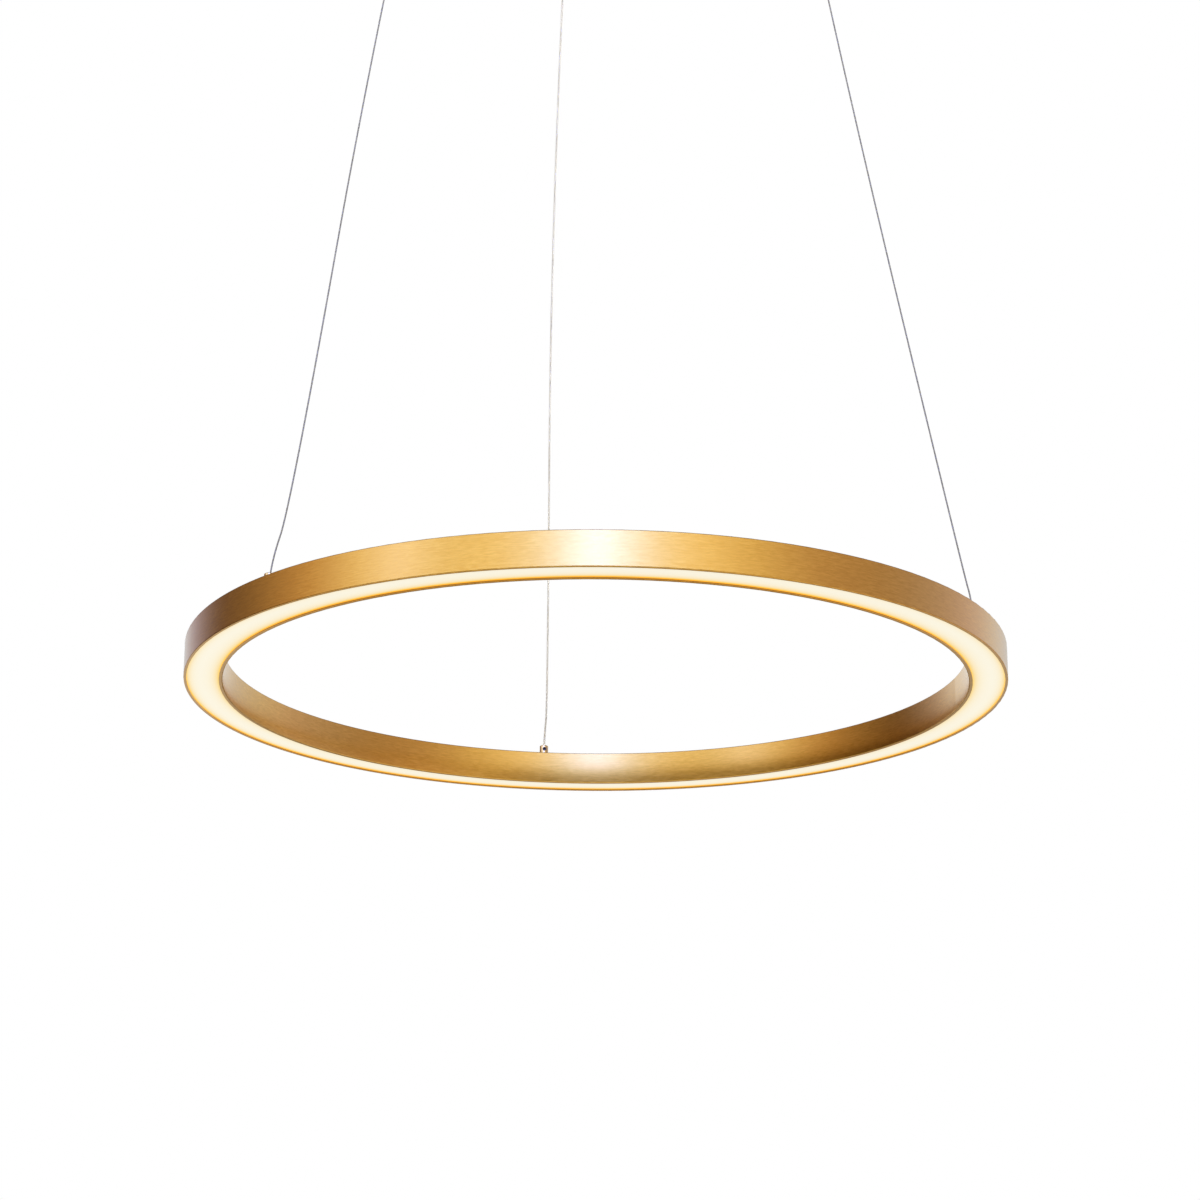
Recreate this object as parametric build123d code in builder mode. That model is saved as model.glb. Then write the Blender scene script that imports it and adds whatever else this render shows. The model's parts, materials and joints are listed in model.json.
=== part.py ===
from build123d import *
from math import cos, pi, radians, sin, sqrt, tan
import os

# LED ring chandelier: a lit ring hung by two steel wires and one feed cable from a round ceiling
# fitting. Millimetres, +Z up. The origin is the centre of the ceiling plate's top face, which lies
# on the ceiling, so everything hangs below Z = 0. Angles count from +X towards +Y.

# ---------------------------------------------------------------- driving dimensions: layout
drop = 1060.0                    # ceiling to the ring's top face
gripper_circle_radius = 105.0    # the grippers' circle in the ceiling fitting
hanging_angles = {"rear": 90.0, "left": 210.0, "right": 330.0}
screw_angles = (30.0, 150.0, 270.0)
steel_wire_diameter = 1.2
feed_cable_diameter = 1.6
running_clearance = 0.05         # radial, between a sliding or turning piece and its guide
assembly_clearance = 0.15        # radial, between a fastener and its hole

# ---------------------------------------------------------------- driving dimensions: ring
ring_outer_radius = 300.0
profile_width = 28.0
profile_height = 25.0
outer_wall = 2.0
inner_wall = 2.6
roof_thickness = 2.5
profile_edge_radius = 0.6
rib_depth = 0.5                  # ribs in the channel that hold the diffuser
rib_height = 1.0
rib_gap = 0.1

diffuser_recess = 1.6            # the diffuser's face is set back between the rims
diffuser_thickness = 2.0
diffuser_leg_height = 6.0
diffuser_leg_thickness = 1.6
diffuser_side_gap = 0.1

socket_inset = 15.5              # the ring's outer face to a socket's axis
socket_diameter = 7.0
socket_height = 8.6
socket_edge = 0.5
socket_mouth_diameter = 4.6
socket_mouth_depth = 1.6
grub_diameter = 3.0
grub_height = 5.3                # ring's top face to the grub screws' axes
grub_sink = 0.5                  # grub screw's end below the socket's side
grub_tip_gap = 0.1               # to the wire
grub_hex_flats = 1.5
grub_hex_depth = 1.0
socket_stem_diameter = 5.0
socket_stem_spare = 1.5
socket_bore_clearance = 0.2      # radial, round the wire
washer_diameter = 8.8
washer_thickness = 1.0
socket_nut_flats = 8.0
socket_nut_height = 3.5
stop_diameter = 3.2
stop_height = 4.0
stop_edge = 0.4
stop_clearance = 0.15

led_strip_width = 8.0
led_strip_thickness = 0.4
led_strip_wall_gap = 1.0
led_strip_gap_angle = 3.0        # between the strip's ends, under the rear socket
led_count = 180
led_length = 3.5
led_width = 2.8
led_height = 0.8
led_end_margin_angle = 5.0       # from each end of the strip to its first chip
connector_length = 12.0
connector_width = 9.6
connector_height = 5.0
connector_edge_radius = 0.8
connector_angle = 3.5            # past the rear socket
feed_core_diameter = 0.8
feed_core_spacing = 1.0
feed_core_dip = 5.0              # the cores' loop below the stop

# ---------------------------------------------------------------- driving dimensions: ceiling fitting
gripper_to_wall = 20.0           # the grippers' circle to the cover's outer face
canopy_height = 38.0
cover_wall = 1.5
cover_edge_radius = 4.0
cover_gap = 1.0                  # cover's wall to the ceiling plate
cover_hole_gap = 0.6             # cover's holes to the grippers

plate_thickness = 2.0
ceiling_slot_spacing = 120.0
ceiling_slot_length = 14.0
ceiling_slot_width = 5.2
ear_width = 14.0
ear_height = 13.0
ear_thickness = 2.0
ear_setback = 1.0                # plate's edge to the ears' outer faces

bracket_width = 16.0
bracket_depth = 24.0             # plate to the bridge's underside
bracket_span = 30.0              # between the risers' middles
bracket_foot = 13.0
bracket_thickness = 2.0
bracket_bend_radius = 2.0
rivet_diameter = 3.2
rivet_head_diameter = 6.0
rivet_head_height = 1.2
rivet_head_taper = 20.0          # degrees

gripper_diameter = 10.0
gripper_shoulder_diameter = 14.0
gripper_shoulder_height = 3.0
gripper_reach = 12.0             # below the cover
gripper_edge = 1.0
gripper_nut_flats = 14.0
gripper_nut_height = 4.0
gripper_thread_spare = 1.0
chamber_diameter = 6.6
gripper_cap_height = 2.5
gripper_cap_bore_clearance = 0.7
spring_length = 10.0
spring_wire_diameter = 0.4
spring_coil_diameter = 5.4
spring_turns = 6
cage_flange_diameter = 6.0
cage_flange_height = 1.5
cage_seat_gap = 1.0              # cage's flange to the cone
cone_height = 8.0
cone_small_diameter = 4.6
cage_diameter = 4.0
cage_bore_clearance = 0.25       # radial, round the wire
ball_diameter = 1.8
ball_clearance = 0.03
ball_hole_clearance = 0.05
balls_per_gripper = 3
button_diameter = 6.5
button_height = 2.7
button_travel = 2.0
button_spare_gap = 0.3
button_mouth_diameter = 4.4
button_mouth_depth = 1.0
button_edge = 0.4

cover_screw_diameter = 4.0
cover_screw_drop = 8.0           # ceiling to the screws' axes
cover_screw_reach = 4.0          # past the ear's inner face
cover_screw_head_diameter = 9.0
cover_screw_head_height = 6.0
cover_screw_head_gap = 0.15      # head to the cover's wall
cover_screw_knurls = 24
cover_screw_knurl_radius = 0.4
cover_screw_slot_width = 1.2
cover_screw_slot_depth = 1.0
cover_slot_clearance = 0.3       # radial, round the screws

# ---------------------------------------------------------------- driving dimensions: electrics
driver_place = (0.0, -48.0)
driver_length = 132.0
driver_width = 40.0
driver_height = 25.0
driver_base_thickness = 2.0
driver_case_wall = 1.6
driver_case_radius = 2.0
driver_lug_length = 12.0
driver_lug_width = 14.0
driver_screw_diameter = 3.5
driver_screw_head_diameter = 7.0
driver_screw_head_height = 2.4
driver_screw_head_taper = 15.0   # degrees
driver_board_gap = 1.0           # board to the case's walls
driver_board_thickness = 1.6
driver_board_end_gap = 8.0       # more room at the board's ends, for the leads
driver_post_diameter = 4.0
driver_post_height = 4.0
driver_post_inset = 5.0
transformer = ((2.0, 0.0), (24.0, 22.0))     # place on the board, then size
choke = ((-27.0, 4.0), (15.0, 13.0))
heat_plate = ((30.0, -9.0), (18.0, 5.0))
fuse = ((-28.0, -10.0), (12.0, 6.0))
capacitors = (((27.0, 6.0), 4.5), ((39.0, 6.0), 4.5), ((-43.0, 3.0), 5.5))    # place, then radius
tall_share = 0.8                 # heights, as shares of the room under the board
middle_share = 0.7
low_share = 0.4

inlet_place = (-40.0, 70.0)
inlet_bore_diameter = 9.0
inlet_hole_diameter = 14.0
inlet_flange_diameter = 18.0
inlet_flange_height = 2.0

terminal_place = (-80.0, 22.0)
terminal_pitch = 10.0
terminal_poles = 3
terminal_end_wall = 1.0
terminal_width = 20.0
terminal_height = 14.0
terminal_axis_drop = 7.0         # plate to the wires' holes
terminal_hole_diameter = 4.4
barrel_length = 14.0
barrel_bore_diameter = 3.0
terminal_screw_diameter = 3.0
terminal_screw_length = 4.0
terminal_screw_tip_gap = 0.2     # above the lead it presses on

earth_place = (-46.0, 30.0)
earth_screw_diameter = 4.0
earth_head_diameter = 7.6
earth_head_height = 3.0
earth_lug_diameter = 9.0
earth_lug_thickness = 1.0
earth_barrel_diameter = 3.6
earth_barrel_length = 6.0
lead_diameter = 2.4
lead_hole_clearance = 0.4

# ---------------------------------------------------------------- worked out: ring
ring_top_z = -drop
ring_bottom_z = ring_top_z - profile_height
roof_under_z = ring_top_z - roof_thickness
ring_inner_radius = ring_outer_radius - profile_width
channel_outer_radius = ring_outer_radius - outer_wall
channel_inner_radius = ring_inner_radius + inner_wall
socket_circle_radius = ring_outer_radius - socket_inset
diffuser_bottom_z = ring_bottom_z + diffuser_recess
diffuser_top_z = diffuser_bottom_z + diffuser_thickness
rib_bottom_z = diffuser_top_z + diffuser_leg_height / 2
stem_length = roof_thickness + washer_thickness + socket_nut_height + socket_stem_spare
stem_bottom_z = ring_top_z - stem_length
stop_top_z = stem_bottom_z + stop_height + socket_stem_spare / 3
stop_bottom_z = stop_top_z - stop_height
led_strip_radius = channel_outer_radius - led_strip_wall_gap - led_strip_width / 2
led_strip_under_z = roof_under_z - led_strip_thickness

# ---------------------------------------------------------------- worked out: ceiling fitting
cover_outer_radius = gripper_circle_radius + gripper_to_wall
cover_inner_radius = cover_outer_radius - cover_wall
plate_radius = cover_inner_radius - cover_gap
plate_under_z = -plate_thickness
ear_outer_radius = plate_radius - ear_setback
bridge_under_z = plate_under_z - bracket_depth
bridge_top_z = bridge_under_z + bracket_thickness
gripper_top_z = bridge_top_z + gripper_nut_height + gripper_thread_spare
gripper_bottom_z = -canopy_height - gripper_reach
cap_under_z = gripper_top_z - gripper_cap_height
cage_top_z = cap_under_z - spring_length
cone_top_z = cage_top_z - cage_flange_height - cage_seat_gap
cone_bottom_z = cone_top_z - cone_height
button_top_z = gripper_bottom_z - button_travel - button_spare_gap
mouth_z = button_top_z - button_height
driver_case_top_z = plate_under_z - driver_base_thickness
driver_bottom_z = plate_under_z - driver_height
terminal_length = terminal_poles * terminal_pitch + 2 * terminal_end_wall
terminal_axis_z = plate_under_z - terminal_axis_drop

wire_diameters = {
    "rear": feed_cable_diameter,
    "left": steel_wire_diameter,
    "right": steel_wire_diameter,
}

# ---------------------------------------------------------------- routes of the wires and leads
wire_rise = 5.0                  # straight out of a socket's mouth before the wire leans over
mouth_run = 13.0                 # straight out of a gripper's mouth
tail_z = gripper_top_z + 8.0     # the wires' ends lie level above their grippers
tail_length = 22.0
left_set = (14.0, 62.0)          # the slight set in each wire: inwards, and above the ring's top face
right_set = (6.0, 36.0)
feed_set = (8.5, 48.0)
feed_way = [                     # the feed cable's way in the ceiling fitting: X, Y, below its tail
    (24.0, 62.0, 0.5),
    (53.0, 42.0, 0.5),
    (81.0, 13.0, 1.0),
    (86.0, -21.0, 3.0),
]
feed_first_step = (4.0, 20.0)    # past its gripper: sideways, and inwards
lead_drop = 6.0                  # from the tails down to the driver's lead holes
lead_reach = 5.0                 # a lead's end inside the driver
feed_approach = 8.0              # before the driver
feed_approach_shift = 0.4
bend_share = 0.45                # of the shorter run at a corner, taken up by its bend
wire_top = (gripper_circle_radius, mouth_z - mouth_run)
wire_foot = (socket_circle_radius, ring_top_z + socket_height + wire_rise)

# Hanging wires, as (radius, Z) in the upright plane of each wire: the stop in the ring's socket, the
# lean out of the socket, a slight set in the wire above it, the lean into the gripper, and the tail.
steel_left_route = [
    (socket_circle_radius, stop_top_z),
    wire_foot,
    (socket_circle_radius - left_set[0], ring_top_z + left_set[1]),
    wire_top,
    (gripper_circle_radius, tail_z),
    (gripper_circle_radius - tail_length, tail_z),
]
steel_right_route = [
    (socket_circle_radius, stop_top_z),
    wire_foot,
    (socket_circle_radius - right_set[0], ring_top_z + right_set[1]),
    wire_top,
    (gripper_circle_radius, tail_z),
    (gripper_circle_radius - tail_length, tail_z),
]

# The feed cable hangs in the X = 0 plane, then runs through the ceiling fitting to the driver.
driver_output_x = driver_place[0] + driver_length / 2
lead_entry_z = tail_z - lead_drop
feed_route = [
    (0.0, socket_circle_radius, stop_top_z),
    (0.0, wire_foot[0], wire_foot[1]),
    (0.0, socket_circle_radius - feed_set[0], ring_top_z + feed_set[1]),
    (0.0, wire_top[0], wire_top[1]),
    (0.0, gripper_circle_radius, tail_z),
    (feed_first_step[0], gripper_circle_radius - feed_first_step[1], tail_z),
    *[(x, y, tail_z - fall) for x, y, fall in feed_way],
    (driver_output_x + feed_approach, driver_place[1] + feed_approach_shift, lead_entry_z),
    (driver_output_x - lead_reach, driver_place[1], lead_entry_z),
]

# Mains leads from the terminal block to the driver and to the earth screw.
driver_input_x = driver_place[0] - driver_length / 2
terminal_exit_y = terminal_place[1] - terminal_width / 2
first_terminal_x = terminal_place[0] - (terminal_poles - 1) / 2 * terminal_pitch
terminal_xs = [first_terminal_x + i * terminal_pitch for i in range(terminal_poles)]
live_lead_y = driver_place[1] - 5.0
neutral_lead_y = driver_place[1] + 5.0
mains_routes = [
    [
        (terminal_xs[0], terminal_exit_y + 6.0, terminal_axis_z),
        (terminal_xs[0], terminal_exit_y - 8.0, terminal_axis_z),
        (terminal_xs[0] - 1.0, terminal_exit_y - 32.0, terminal_axis_z - 1.0),
        (driver_input_x - 9.0, live_lead_y, lead_entry_z),
        (driver_input_x + lead_reach, live_lead_y, lead_entry_z),
    ],
    [
        (terminal_xs[1], terminal_exit_y + 6.0, terminal_axis_z),
        (terminal_xs[1], terminal_exit_y - 6.0, terminal_axis_z),
        (terminal_xs[1] - 2.0, terminal_exit_y - 28.0, terminal_axis_z - 1.0),
        (driver_input_x - 9.0, neutral_lead_y, lead_entry_z),
        (driver_input_x + lead_reach, neutral_lead_y, lead_entry_z),
    ],
]
earth_route = [
    (terminal_xs[2], terminal_exit_y + 6.0, terminal_axis_z),
    (terminal_xs[2], terminal_exit_y - 5.0, terminal_axis_z),
    (earth_place[0] - 6.0, earth_place[1] - 24.0, terminal_axis_z + 1.5),
    (earth_place[0], earth_place[1] - 15.0, plate_under_z - earth_barrel_diameter / 2),
    (earth_place[0], earth_place[1] - earth_lug_diameter / 2, plate_under_z - earth_barrel_diameter / 2),
]


# ---------------------------------------------------------------- helpers
def write(piece, name):
    """Labels a finished piece and writes it."""
    piece.part.label = name
    export_step(piece.part, f"parts/{name}.step")


def outward(angle):
    return Vector(cos(radians(angle)), sin(radians(angle)), 0)


def sideways(angle):
    return Vector(-sin(radians(angle)), cos(radians(angle)), 0)


def half_section_plane(angle, radius):
    """Upright plane at a place on a circle: its x is the distance from that place, its y is Z."""
    return Plane(origin=outward(angle) * radius, x_dir=outward(angle), z_dir=sideways(angle) * -1)


def facing_plane(angle, radius, z=0.0):
    """Upright plane that faces outwards: its x runs round the circle, its y is up from z."""
    origin = outward(angle) * radius + Vector(0, 0, z)
    return Plane(origin=origin, x_dir=sideways(angle), z_dir=outward(angle))


def upright_axis(angle, radius):
    return Axis(outward(angle) * radius, (0, 0, 1))


def turned(points, places=((0.0, 0.0),)):
    """Turned pieces: one half section of (radius, Z) points, revolved at each (angle, radius) place."""
    with BuildPart() as piece:
        for angle, radius in places:
            with BuildSketch(half_section_plane(angle, radius)):
                with BuildLine():
                    Polyline(*points, close=True)
                make_face()
            revolve(axis=upright_axis(angle, radius))
    return piece


def on_circle(radius, angles):
    return [(angle, radius) for angle in angles]


def bend_radii(points):
    """The bend at each corner: a share of its shorter run, over the tangent of half its turn."""
    corners = [Vector(*p) for p in points]
    found = []
    for before, here, after in zip(corners, corners[1:], corners[2:]):
        arriving = here - before
        leaving = after - here
        turn = radians(arriving.get_angle(leaving))
        found.append(bend_share * min(arriving.length, leaving.length) / tan(turn / 2))
    return found


def tube(name, points, diameter):
    """A round cable of straight runs joined by tangent arcs."""
    radii = bend_radii(points)
    with BuildPart() as cable:
        with BuildLine() as path:
            FilletPolyline(*points, radius=radii)
        with BuildSketch(Plane(origin=path.line @ 0, z_dir=path.line % 0)):
            Circle(diameter / 2)
        sweep(path=path.line)
    length = path.wire().length
    volume_share = cable.part.volume / (pi * diameter**2 / 4 * length)
    print(f"{name}: {length:.1f} long, volume over section times length {volume_share:.4f}, radii")
    print([round(r, 1) for r in radii])
    return cable


def in_plane_of(angle, route):
    """(radius, Z) points of a hanging wire as points in space."""
    return [tuple(outward(angle) * r + Vector(0, 0, z)) for r, z in route]


# ---------------------------------------------------------------- ring
def make_ring_profile():
    """Rolled channel, open at the bottom, with ribs for the diffuser and holes for the sockets."""
    with BuildPart() as profile:
        with BuildSketch(Plane.XZ) as section:
            with Locations((ring_inner_radius, ring_bottom_z)):
                Rectangle(profile_width, profile_height, align=(Align.MIN, Align.MIN))
            inner_corners = section.vertices().group_by(Axis.X)[0]
            outer_corners = section.vertices().group_by(Axis.X)[-1]
            fillet(inner_corners + outer_corners, profile_edge_radius)
            with Locations((channel_inner_radius, ring_bottom_z)):
                Rectangle(
                    channel_outer_radius - channel_inner_radius,
                    profile_height - roof_thickness,
                    align=(Align.MIN, Align.MIN),
                    mode=Mode.SUBTRACT,
                )
            with Locations((channel_inner_radius, rib_bottom_z)):
                Rectangle(rib_depth, rib_height, align=(Align.MIN, Align.MIN))
            with Locations((channel_outer_radius - rib_depth, rib_bottom_z)):
                Rectangle(rib_depth, rib_height, align=(Align.MIN, Align.MIN))
        revolve(axis=Axis.Z)
        with BuildSketch(Plane.XY.offset(ring_top_z)):
            for angle in hanging_angles.values():
                with Locations(outward(angle) * socket_circle_radius):
                    Circle(socket_stem_diameter / 2 + assembly_clearance)
        extrude(amount=-roof_thickness, mode=Mode.SUBTRACT)
    return profile


def make_diffuser():
    """Opal plate whose two legs snap over the channel's ribs."""
    inner = channel_inner_radius + diffuser_side_gap
    outer = channel_outer_radius - diffuser_side_gap
    groove_depth = rib_depth - diffuser_side_gap + rib_gap
    groove_z = rib_bottom_z - rib_gap
    full_height = diffuser_thickness + diffuser_leg_height
    with BuildPart() as diffuser:
        with BuildSketch(Plane.XZ):
            with Locations((inner, diffuser_bottom_z)):
                Rectangle(outer - inner, full_height, align=(Align.MIN, Align.MIN))
            with Locations((inner + diffuser_leg_thickness, diffuser_top_z)):
                Rectangle(
                    outer - inner - 2 * diffuser_leg_thickness,
                    diffuser_leg_height,
                    align=(Align.MIN, Align.MIN),
                    mode=Mode.SUBTRACT,
                )
            with Locations((inner, groove_z), (outer - groove_depth, groove_z)):
                Rectangle(
                    groove_depth,
                    rib_height + 2 * rib_gap,
                    align=(Align.MIN, Align.MIN),
                    mode=Mode.SUBTRACT,
                )
        revolve(axis=Axis.Z)
    return diffuser


def make_ring_socket(angle, wire_diameter):
    """Turned socket: barrel on the ring's top face, threaded stem through it, seat for the wire's stop."""
    bore = wire_diameter / 2 + socket_bore_clearance
    seat = stop_diameter / 2 + stop_clearance
    barrel = socket_diameter / 2
    stem = socket_stem_diameter / 2
    top = ring_top_z + socket_height
    with BuildPart() as socket:
        with BuildSketch(half_section_plane(angle, socket_circle_radius)):
            with BuildLine():
                Polyline(
                    (bore, stop_top_z),
                    (seat, stop_top_z),
                    (seat, stem_bottom_z),
                    (stem, stem_bottom_z),
                    (stem, ring_top_z),
                    (barrel, ring_top_z),
                    (barrel, top - socket_edge),
                    (barrel - socket_edge, top),
                    (socket_mouth_diameter / 2, top),
                    (bore, top - socket_mouth_depth),
                    close=True,
                )
            make_face()
        revolve(axis=upright_axis(angle, socket_circle_radius))
        with BuildSketch(facing_plane(angle, socket_circle_radius, ring_top_z + grub_height)):
            Circle(grub_diameter / 2 + running_clearance)
        extrude(amount=-socket_diameter, mode=Mode.SUBTRACT)
    return socket


def make_socket_grubs():
    """Grub screws that clamp the wires from the sockets' inner sides."""
    outer_end = socket_circle_radius - socket_diameter / 2 + grub_sink
    with BuildPart() as grubs:
        for where, angle in hanging_angles.items():
            tip = socket_circle_radius - wire_diameters[where] / 2 - grub_tip_gap
            with BuildSketch(facing_plane(angle, outer_end, ring_top_z + grub_height)):
                Circle(grub_diameter / 2)
            extrude(amount=tip - outer_end)
            with BuildSketch(facing_plane(angle, outer_end, ring_top_z + grub_height)):
                RegularPolygon(grub_hex_flats / 2, 6, major_radius=False)
            extrude(amount=grub_hex_depth, mode=Mode.SUBTRACT)
    return grubs


def make_socket_washers():
    hole = socket_stem_diameter / 2 + assembly_clearance
    rim = washer_diameter / 2
    under = roof_under_z - washer_thickness
    return turned(
        [(hole, under), (rim, under), (rim, roof_under_z), (hole, roof_under_z)],
        on_circle(socket_circle_radius, hanging_angles.values()),
    )


def hex_nuts(top_z, height, flats, bore_radius, places):
    """Hexagonal nuts, one at each (angle, radius) place, below top_z."""
    with BuildPart() as nuts:
        for angle, radius in places:
            centre = outward(angle) * radius + Vector(0, 0, top_z)
            with BuildSketch(Plane(origin=centre, x_dir=outward(angle))):
                RegularPolygon(flats / 2, 6, major_radius=False, rotation=30)
                Circle(bore_radius, mode=Mode.SUBTRACT)
            extrude(amount=-height)
    return nuts


def make_wire_stop(angle):
    """Crimped stop on the wire's end, seated in its socket."""
    rim = stop_diameter / 2
    return turned(
        [
            (0, stop_bottom_z),
            (rim - stop_edge, stop_bottom_z),
            (rim, stop_bottom_z + stop_edge),
            (rim, stop_top_z),
            (0, stop_top_z),
        ],
        on_circle(socket_circle_radius, [angle]),
    )


def make_led_strip():
    """Flexible circuit under the ring's roof, with its two ends near the rear socket."""
    start = hanging_angles["rear"] + led_strip_gap_angle / 2
    with BuildPart() as strip:
        with BuildSketch(half_section_plane(start, 0)):
            with Locations((led_strip_radius, roof_under_z - led_strip_thickness / 2)):
                Rectangle(led_strip_width, led_strip_thickness)
        revolve(axis=Axis.Z, revolution_arc=360 - led_strip_gap_angle)
    return strip


def make_led_chips():
    """Light-emitting chips, evenly spaced on the strip."""
    start = hanging_angles["rear"] + led_strip_gap_angle / 2 + led_end_margin_angle
    span = 360 - led_strip_gap_angle - 2 * led_end_margin_angle
    with BuildPart() as chips:
        with BuildSketch(Plane.XY.offset(led_strip_under_z)):
            with PolarLocations(led_strip_radius, led_count, start, span, endpoint=True):
                Rectangle(led_width, led_length)
        extrude(amount=-led_height)
    return chips


def make_strip_connector():
    """Clip on the strip's first end, which takes the feed cores."""
    angle = hanging_angles["rear"] + connector_angle
    centre = outward(angle) * led_strip_radius + Vector(0, 0, roof_under_z)
    slot_width = led_strip_width + 2 * assembly_clearance
    slot_height = led_strip_thickness + 2 * assembly_clearance
    with BuildPart() as connector:
        with BuildSketch(Plane(origin=centre, x_dir=outward(angle))):
            Rectangle(connector_width, connector_length)
        extrude(amount=-connector_height)
        with BuildSketch(half_section_plane(angle, led_strip_radius)):
            with Locations((0, roof_under_z - led_strip_thickness / 2)):
                Rectangle(slot_width, slot_height)
        extrude(amount=connector_length, both=True, mode=Mode.SUBTRACT)
        upright_edges = connector.edges().filter_by(Axis.Z).group_by(SortBy.LENGTH)[-1]
        fillet(upright_edges, connector_edge_radius)
    return connector


def make_feed_cores():
    """The feed cable's two cores, from under its stop to the strip's connector."""
    rear = hanging_angles["rear"]
    start = outward(rear) * socket_circle_radius
    finish = outward(rear + connector_angle) * led_strip_radius
    run = finish - start
    beside = Vector(-run.Y, run.X, 0).normalized() * (feed_core_spacing / 2)
    dip_z = stop_bottom_z - feed_core_dip
    connector_under_z = roof_under_z - connector_height
    with BuildPart() as cores:
        for offset in (beside, beside * -1):
            points = [
                start + offset + Vector(0, 0, stop_bottom_z),
                start + offset + Vector(0, 0, dip_z),
                finish + offset + Vector(0, 0, dip_z),
                finish + offset + Vector(0, 0, connector_under_z),
            ]
            radii = bend_radii([tuple(p) for p in points])
            with BuildLine() as path:
                FilletPolyline(*points, radius=radii)
            with BuildSketch(Plane(origin=path.line @ 0, z_dir=path.line % 0)):
                Circle(feed_core_diameter / 2)
            sweep(path=path.line)
    return cores


# ---------------------------------------------------------------- ceiling plate and brackets
def make_ceiling_plate():
    """Steel disc on the ceiling, with slots for two ceiling screws and ears for the cover's screws."""
    half_driver = driver_length / 2 + driver_lug_length / 2
    with BuildPart() as plate:
        with BuildSketch():
            Circle(plate_radius)
            with GridLocations(ceiling_slot_spacing, 0, 2, 1):
                SlotOverall(ceiling_slot_length, ceiling_slot_width, mode=Mode.SUBTRACT)
            with Locations(inlet_place):
                Circle(inlet_hole_diameter / 2, mode=Mode.SUBTRACT)
            with Locations(earth_place):
                Circle(earth_screw_diameter / 2 + running_clearance, mode=Mode.SUBTRACT)
            with Locations(driver_place):
                with GridLocations(2 * half_driver, 0, 2, 1):
                    Circle(driver_screw_diameter / 2 + running_clearance, mode=Mode.SUBTRACT)
            for angle in hanging_angles.values():
                for side in (-1, 1):
                    with Locations(rivet_place(angle, side)):
                        Circle(rivet_diameter / 2 + running_clearance, mode=Mode.SUBTRACT)
        extrude(amount=-plate_thickness)
        for angle in screw_angles:
            with BuildSketch(facing_plane(angle, ear_outer_radius)):
                with Locations((0, plate_under_z)):
                    Rectangle(ear_width, ear_height, align=(Align.CENTER, Align.MAX))
                with Locations((0, -cover_screw_drop)):
                    Circle(cover_screw_diameter / 2 + running_clearance, mode=Mode.SUBTRACT)
            extrude(amount=-ear_thickness)
    return plate


def rivet_place(angle, side):
    """Middle of one foot of a hanger bracket."""
    reach = bracket_span / 2 + bracket_foot / 2 + bracket_thickness / 2
    return outward(angle) * gripper_circle_radius + sideways(angle) * (side * reach)


def make_hanger_bracket(angle):
    """Bent strap riveted to the plate, whose bridge carries one gripper."""
    half = bracket_span / 2
    foot_z = plate_under_z - bracket_thickness / 2
    bridge_z = bridge_under_z + bracket_thickness / 2
    with BuildPart() as bracket:
        with BuildSketch(facing_plane(angle, gripper_circle_radius - bracket_width / 2)):
            with BuildLine():
                FilletPolyline(
                    (-half - bracket_foot, foot_z),
                    (-half, foot_z),
                    (-half, bridge_z),
                    (half, bridge_z),
                    (half, foot_z),
                    (half + bracket_foot, foot_z),
                    radius=bracket_bend_radius,
                )
            trace(line_width=bracket_thickness)
        extrude(amount=bracket_width)
        with BuildSketch(Plane.XY.offset(bridge_top_z)):
            with Locations(outward(angle) * gripper_circle_radius):
                Circle(gripper_diameter / 2 + assembly_clearance)
        extrude(amount=-bracket_thickness, mode=Mode.SUBTRACT)
        with BuildSketch(Plane.XY.offset(plate_under_z)):
            for side in (-1, 1):
                with Locations(rivet_place(angle, side)):
                    Circle(rivet_diameter / 2 + running_clearance)
        extrude(amount=-bracket_thickness, mode=Mode.SUBTRACT)
    return bracket


def make_bracket_rivets():
    """Rivets, flush with the plate's top face and headed under the brackets' feet."""
    head_top_z = plate_under_z - bracket_thickness
    with BuildPart() as rivets:
        for angle in hanging_angles.values():
            for side in (-1, 1):
                place = rivet_place(angle, side)
                with BuildSketch():
                    with Locations(place):
                        Circle(rivet_diameter / 2)
                extrude(amount=head_top_z)
                with BuildSketch(Plane.XY.offset(head_top_z)):
                    with Locations(place):
                        Circle(rivet_head_diameter / 2)
                extrude(amount=-rivet_head_height, taper=rivet_head_taper)
    return rivets


# ---------------------------------------------------------------- grippers
def make_gripper_body(angle):
    """Turned body: thread and shoulder for the bracket, spring chamber, cone and guide for the cage."""
    outer = gripper_diameter / 2
    shoulder = gripper_shoulder_diameter / 2
    chamber = chamber_diameter / 2
    cone_small = cone_small_diameter / 2
    guide = cage_diameter / 2 + running_clearance
    shoulder_z = bridge_under_z - gripper_shoulder_height
    return turned(
        [
            (chamber, gripper_top_z),
            (outer, gripper_top_z),
            (outer, bridge_under_z),
            (shoulder, bridge_under_z),
            (shoulder, shoulder_z),
            (outer, shoulder_z),
            (outer, gripper_bottom_z + gripper_edge),
            (outer - gripper_edge, gripper_bottom_z),
            (guide, gripper_bottom_z),
            (guide, cone_bottom_z),
            (cone_small, cone_bottom_z),
            (chamber, cone_top_z),
        ],
        on_circle(gripper_circle_radius, [angle]),
    )


def make_gripper_cap(angle, wire_diameter):
    """Screwed-in cap that backs the spring and lets the wire out."""
    bore = wire_diameter / 2 + gripper_cap_bore_clearance
    rim = chamber_diameter / 2 - running_clearance
    return turned(
        [(bore, cap_under_z), (rim, cap_under_z), (rim, gripper_top_z), (bore, gripper_top_z)],
        on_circle(gripper_circle_radius, [angle]),
    )


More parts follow.
